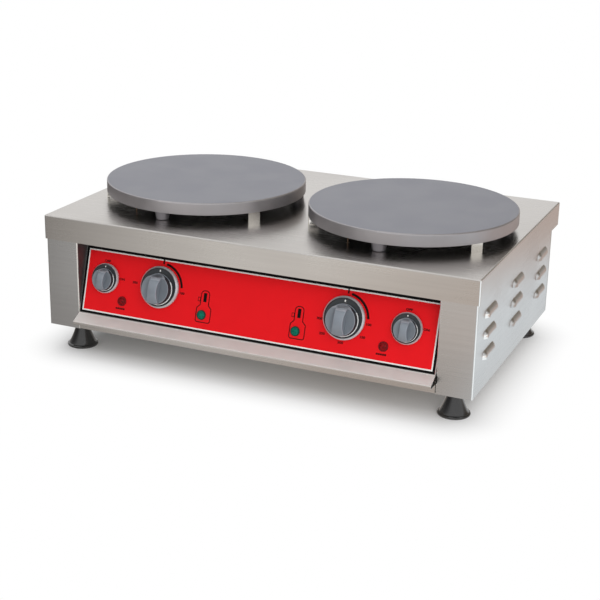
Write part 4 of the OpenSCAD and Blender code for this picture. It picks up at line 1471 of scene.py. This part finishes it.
@dataclass
class Foot:
    """A bell-shaped levelling foot with its stud and hexagon collar. Sizes are in mm."""

    end: End
    side: Side
    sole: float = 30.5
    neck: float = 13.5
    flank_foot: float = 6.0
    flank_top: float = 9.0
    flank_inset: float = 4.0
    flank_hollow: float = 0.28
    bore_foot: float = 3.0
    stud: float = 5.0
    collar: float = 5.0
    pitch: float = 1.5
    thread: float = 0.75

    @property
    def word(self) -> str:
        """End and side of the foot, as they stand in the names of its nodes."""
        return f"{self.end.value}_{self.side.word}"

    def bell(self, height: float) -> Mesh:
        """Lipped sole, hollow-curved flank and straight neck.

        Args:
            height: Height of the bell, in mm.

        Returns:
            The mesh, in mm.
        """
        spare = self.sole - self.flank_inset - self.neck
        rise, steps = height - self.flank_foot - self.flank_top, 16
        flank = []
        for t in (k / steps for k in range(steps + 1)):
            radius = self.neck + spare * (1 - t) * (1 - self.flank_hollow * t)
            flank.append((radius, self.flank_foot + rise * t))
        lip = rounded([
            (0.0, 0.0, 0.0),
            (self.sole - 1, 0.0, 0.5),
            (self.sole, 1.4, 0.6),
            (self.sole, 3.4, 1.0),
            (self.sole - 2.0, 5.3, 0.9),
            (flank[0][0] + 0.4, 5.6, 0.3),
            (*flank[1], 0.0),
        ], 5)[:-1]
        rim = arc((self.neck - 1.2, height - 1.2), 1.2, 0.0, 90.0, 4)
        bore = [(self.stud, height), (self.stud, self.bore_foot), (0.0, self.bore_foot)]
        return lathe([*lip, *flank[1:], *rim, *bore])

    def fastening(self, low: float, high: float, stud_top: float) -> Mesh:
        """Threaded stud and its hexagon collar.

        Args:
            low: Height of the collar's lower face, in mm.
            high: Height of the collar's upper face, in mm.
            stud_top: Height of the stud's end, in mm.

        Returns:
            The mesh, in mm.
        """
        r, foot = self.stud, self.bore_foot + 0.2
        thread: list[Point] = [(r - 0.1, high - 0.2)]
        z = high
        while z + self.pitch < stud_top - 1:
            thread += [(r - self.thread, z + self.pitch / 2), (r - 0.02, z + self.pitch)]
            z += self.pitch
        profile = [(0.0, foot), (r - 0.1, foot), *thread, (r - 1, stud_top), (0.0, stud_top)]
        hexagon = soften(prism([arc((0, 0), 1.7 * r, 0.0, 300.0, 5)], low + 0.02, high), 0.5, 3)
        return joined([lathe(profile, 48), hexagon])

    def build(self) -> None:
        """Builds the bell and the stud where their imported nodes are."""
        low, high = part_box(f"foot_{self.word}")
        _, stud_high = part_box(f"stud_{self.word}")
        place = Matrix.Translation(((low.x + high.x) / 2, (low.y + high.y) / 2, low.z))
        height, top = (high.z - low.z) / MM, (stud_high.z - low.z) / MM
        stud = self.fastening(height, height + self.collar, top)
        for name, mesh, finish, slot, node in (
            ("bell", self.bell(height), BLACK_POLYMER, "foot_plastic", "foot"),
            ("thread", stud, ZINC, "stud_zinc", "stud"),
        ):
            add_piece(
                f"{name}_{self.word}",
                moved(mesh, place @ Matrix.Scale(MM, 4)),
                (finish,),
                f"levelling_foot_{self.word}",
                slot,
                (f"{node}_{self.word}",),
            )


@dataclass
class RearFittings:
    """Cable gland and the screws of the rear panel and the base."""

    frame: dict

    def build(self) -> None:
        """Dresses the gland and the screws."""
        dress(self.frame["nodes"]["cable_gland"], GLAND)
        for name in ("rear_screws", "base_screws"):
            dress(self.frame["nodes"][name], FASTENER)


@dataclass(frozen=True)
class Softbox:
    """Square soft lamp: where it hangs, its side in metres, its power in watts and its tint."""

    name: str
    place: Axis
    size: float
    power: float
    tint: Colour


# What steel mirrors, from one part of the room and of the floor to the next
ROOM_TONES = (
    Wash((0.24, 0.2, 0.155), (Edge((0.5, 0.68, 0.54), 0.68, 0.93),)),
    Wash((0.16, 0.15, 0.15), (Edge((-0.85, -0.42, -0.5), 0.3, 0.9),)),
)
FLOOR_TONES = (
    Wash((1.0, 0.98, 0.95), (Edge((1.0, -0.6, 0.0), -0.7, 0.35),)),
    Wash((0.74, 0.66, 0.6), (Edge((1.0, 0.0, 0.0), -0.2, 0.2),)),
    # Painted shadow: mirrors see the floor darker from 0.4 m in front of the machine backwards
    Wash((0.3, 0.28, 0.265), (Edge((0.0, 1.0, 0.0), -0.75, -0.4),), 0.45),
    Wash((0.92, 0.97, 1.0), (Edge((1.0, 0.0, 0.0), 0.3, 0.55),)),
    Wash(
        (0.64, 0.52, 0.46),
        (Edge((1.0, 0.26, 0.0), 0.72, 0.86), Edge((0.0, 1.0, 0.0), -0.2, 0.2)),
    ),
)
# Light of the room, cooler and weaker from the left
ROOM_LIGHT = (Wash((0.6, 0.62, 0.66), (Edge((-0.95, -0.3, 0.0), -0.3, 0.9),)),)


@dataclass
class Studio:
    """Floor, soft lamps, surroundings and the camera.

    Floor and surroundings are pale to the camera, and graded in what metal mirrors.
    """

    # Camera: place in metres, turns in degrees, lens and sensor in mm
    eye: Axis = (1.01685, -2.39582, 1.00345)
    yaw: float = 23.238
    pitch: float = 19.464
    roll: float = 1.167
    lens: float = 82.13
    sensor: float = 36.0

    # Room and lamps
    white: Colour = (1.0, 1.0, 1.0)
    sky: float = 0.62
    aim: Axis = (0.0, 0.0, 0.2)
    lamps: tuple[Softbox, ...] = (
        Softbox("overhead", (-0.5, 0.6, 2.4), 2.4, 24.0, (1.0, 0.99, 0.97)),
        Softbox("front", (1.5, -2.3, 1.5), 1.8, 33.0, (1.0, 0.98, 0.96)),
    )

    # Floor, in metres: half the footprint, and how far the shadow reaches past it
    floor_radius: float = 9.0
    floor_shown: Colour = (0.86, 0.86, 0.86)
    floor_lit: Colour = (0.84, 0.82, 0.8)
    floor_left: Colour = (0.12, 0.108, 0.1)
    footprint: Axis = (0.37, 0.22, 0.0)
    shadow_reach: float = 0.14

    def camera(self) -> None:
        """Places the camera at the front, to the right and above."""
        yaw, pitch, roll = (math.radians(a) for a in (self.yaw, self.pitch, self.roll))
        level = Vector((-math.sin(yaw), math.cos(yaw), 0.0)) * math.cos(pitch)
        forward = level - Vector((0.0, 0.0, math.sin(pitch)))
        right = Vector((math.cos(yaw), math.sin(yaw), 0.0))
        up = right.cross(forward)
        right, up = (
            right * math.cos(roll) + up * math.sin(roll),
            up * math.cos(roll) - right * math.sin(roll),
        )
        data = bpy.data.cameras.new("camera")
        data.lens, data.sensor_width = self.lens, self.sensor
        camera = in_scene("camera", data)
        turn = Matrix((right, up, -forward)).transposed().to_4x4()
        camera.matrix_world = Matrix.Translation(self.eye) @ turn
        bpy.context.scene.camera = camera

    def world(self) -> None:
        """White for the camera, graded in mirrors, and weaker as light."""
        world = bpy.data.worlds.new("surroundings")
        bpy.context.scene.world = world
        world.use_nodes = True
        nodes = Nodes(world.node_tree)
        way = nodes.node("ShaderNodeTexCoord").outputs["Generated"]
        path = nodes.node("ShaderNodeLightPath").outputs
        mirrored = nodes.washed(way, self.white, ROOM_TONES)
        shown, light = (nodes.node("ShaderNodeBackground") for _ in range(2))
        colour = nodes.blend(path["Is Camera Ray"], mirrored, self.white)
        nodes.feed(shown.inputs["Color"], colour)
        nodes.feed(light.inputs["Color"], nodes.washed(way, self.white, ROOM_LIGHT))
        light.inputs["Strength"].default_value = self.sky
        seen = path["Is Camera Ray"]
        for name in ("Is Glossy Ray", "Is Transmission Ray"):
            seen = nodes.number("MAXIMUM", seen, path[name])
        nodes.finish("ShaderNodeOutputWorld", nodes.mix(seen, light.outputs[0], shown.outputs[0]))

    def floor_material(self) -> bpy.types.Material:
        """Keeps the machine's shadow, fades to white past it and is graded in mirrors."""
        material = bpy.data.materials.new("pale_floor")
        material.use_nodes = True
        nodes = Nodes(material.node_tree)
        place = nodes.node("ShaderNodeTexCoord").outputs["Object"]
        path = nodes.node("ShaderNodeLightPath").outputs
        camera = path["Is Camera Ray"]
        matt = nodes.node("ShaderNodeBsdfDiffuse")
        nodes.feed(matt.inputs["Color"], nodes.blend(camera, self.floor_lit, self.floor_shown))
        mirrored, white = (nodes.node("ShaderNodeEmission") for _ in range(2))
        tones_seen = nodes.washed(place, self.floor_left, FLOOR_TONES)
        nodes.feed(mirrored.inputs["Color"], tones_seen)
        past = nodes.vector("SUBTRACT", nodes.vector("ABSOLUTE", place), self.footprint)
        past = nodes.vector("LENGTH", nodes.vector("MAXIMUM", past))
        fade = nodes.number("MULTIPLY", nodes.spread(past, 0.0, self.shadow_reach), camera)
        surface = nodes.mix(path["Is Glossy Ray"], matt.outputs[0], mirrored.outputs[0])
        nodes.finish("ShaderNodeOutputMaterial", nodes.mix(fade, surface, white.outputs[0]))
        return material

    def floor(self) -> None:
        mesh = bmesh.new()
        bmesh.ops.create_circle(mesh, cap_ends=True, radius=self.floor_radius, segments=128)
        data = bpy.data.meshes.new("floor")
        mesh.to_mesh(data)
        mesh.free()
        data.materials.append(self.floor_material())
        in_scene("floor", data)

    def hang(self, softbox: Softbox) -> None:
        """Adds one lamp, aimed at the machine and not shown in mirrors."""
        data = bpy.data.lights.new(softbox.name, "AREA")
        data.shape, data.size = "SQUARE", softbox.size
        data.energy, data.color = softbox.power, softbox.tint
        lamp = in_scene(softbox.name, data)
        lamp.location = softbox.place
        lamp.visible_glossy = False
        lamp.rotation_mode = "QUATERNION"
        beam = Vector(self.aim) - Vector(softbox.place)
        lamp.rotation_quaternion = beam.to_track_quat("-Z", "Y")

    def build(self) -> None:
        """Sets up camera, world, floor and lamps."""
        self.camera()
        self.world()
        self.floor()
        for softbox in self.lamps:
            self.hang(softbox)
        bpy.context.scene.view_settings.view_transform = "Standard"
        LOG.info("studio ready: %d lamps", len(self.lamps))


# ---------- The machine ----------


@dataclass
class CrepeMaker:
    """The whole machine, built sub-assembly by sub-assembly.

    The knobs' height up the panel is knob_up, in mm.
    """

    frame: dict
    knob_up: float = 74.0
    places: ControlPlaces = field(default_factory=ControlPlaces)

    def controls(self, panel: PanelPlace, side: Side) -> list[Knob | Lamp]:
        """Knobs and lamps of one side."""
        x, width, up = self.places.x, self.places.width, self.places.lamp_up
        knobs = [Knob(panel, kind, side, x(kind, side), width(kind, side)) for kind in KnobKind]
        lamps = [Lamp(panel, kind, side, x(kind, side), up) for kind in LampKind]
        return [*knobs, *lamps]

    def build(self) -> None:
        """Builds every sub-assembly in order."""
        panel = PanelPlace.from_frame(self.frame, self.knob_up)
        SheetBody(self.frame).build()
        PanelPrint(panel, self.places).build()
        RearFittings(self.frame).build()
        for side in Side:
            CookingPlate(self.frame, side).build()
            for control in self.controls(panel, side):
                control.build()
            for end in End:
                Foot(end, side).build()


def smooth_nodes(frame: dict) -> None:
    """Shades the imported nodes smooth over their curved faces."""
    for node in frame["nodes"].values():
        smooth(node.data)


def main() -> None:
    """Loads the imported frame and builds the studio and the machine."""
    logging.basicConfig(level=logging.INFO, format="%(message)s")
    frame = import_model()
    Studio().build()
    smooth_nodes(frame)
    CrepeMaker(frame).build()


if __name__ == "__main__":
    main()
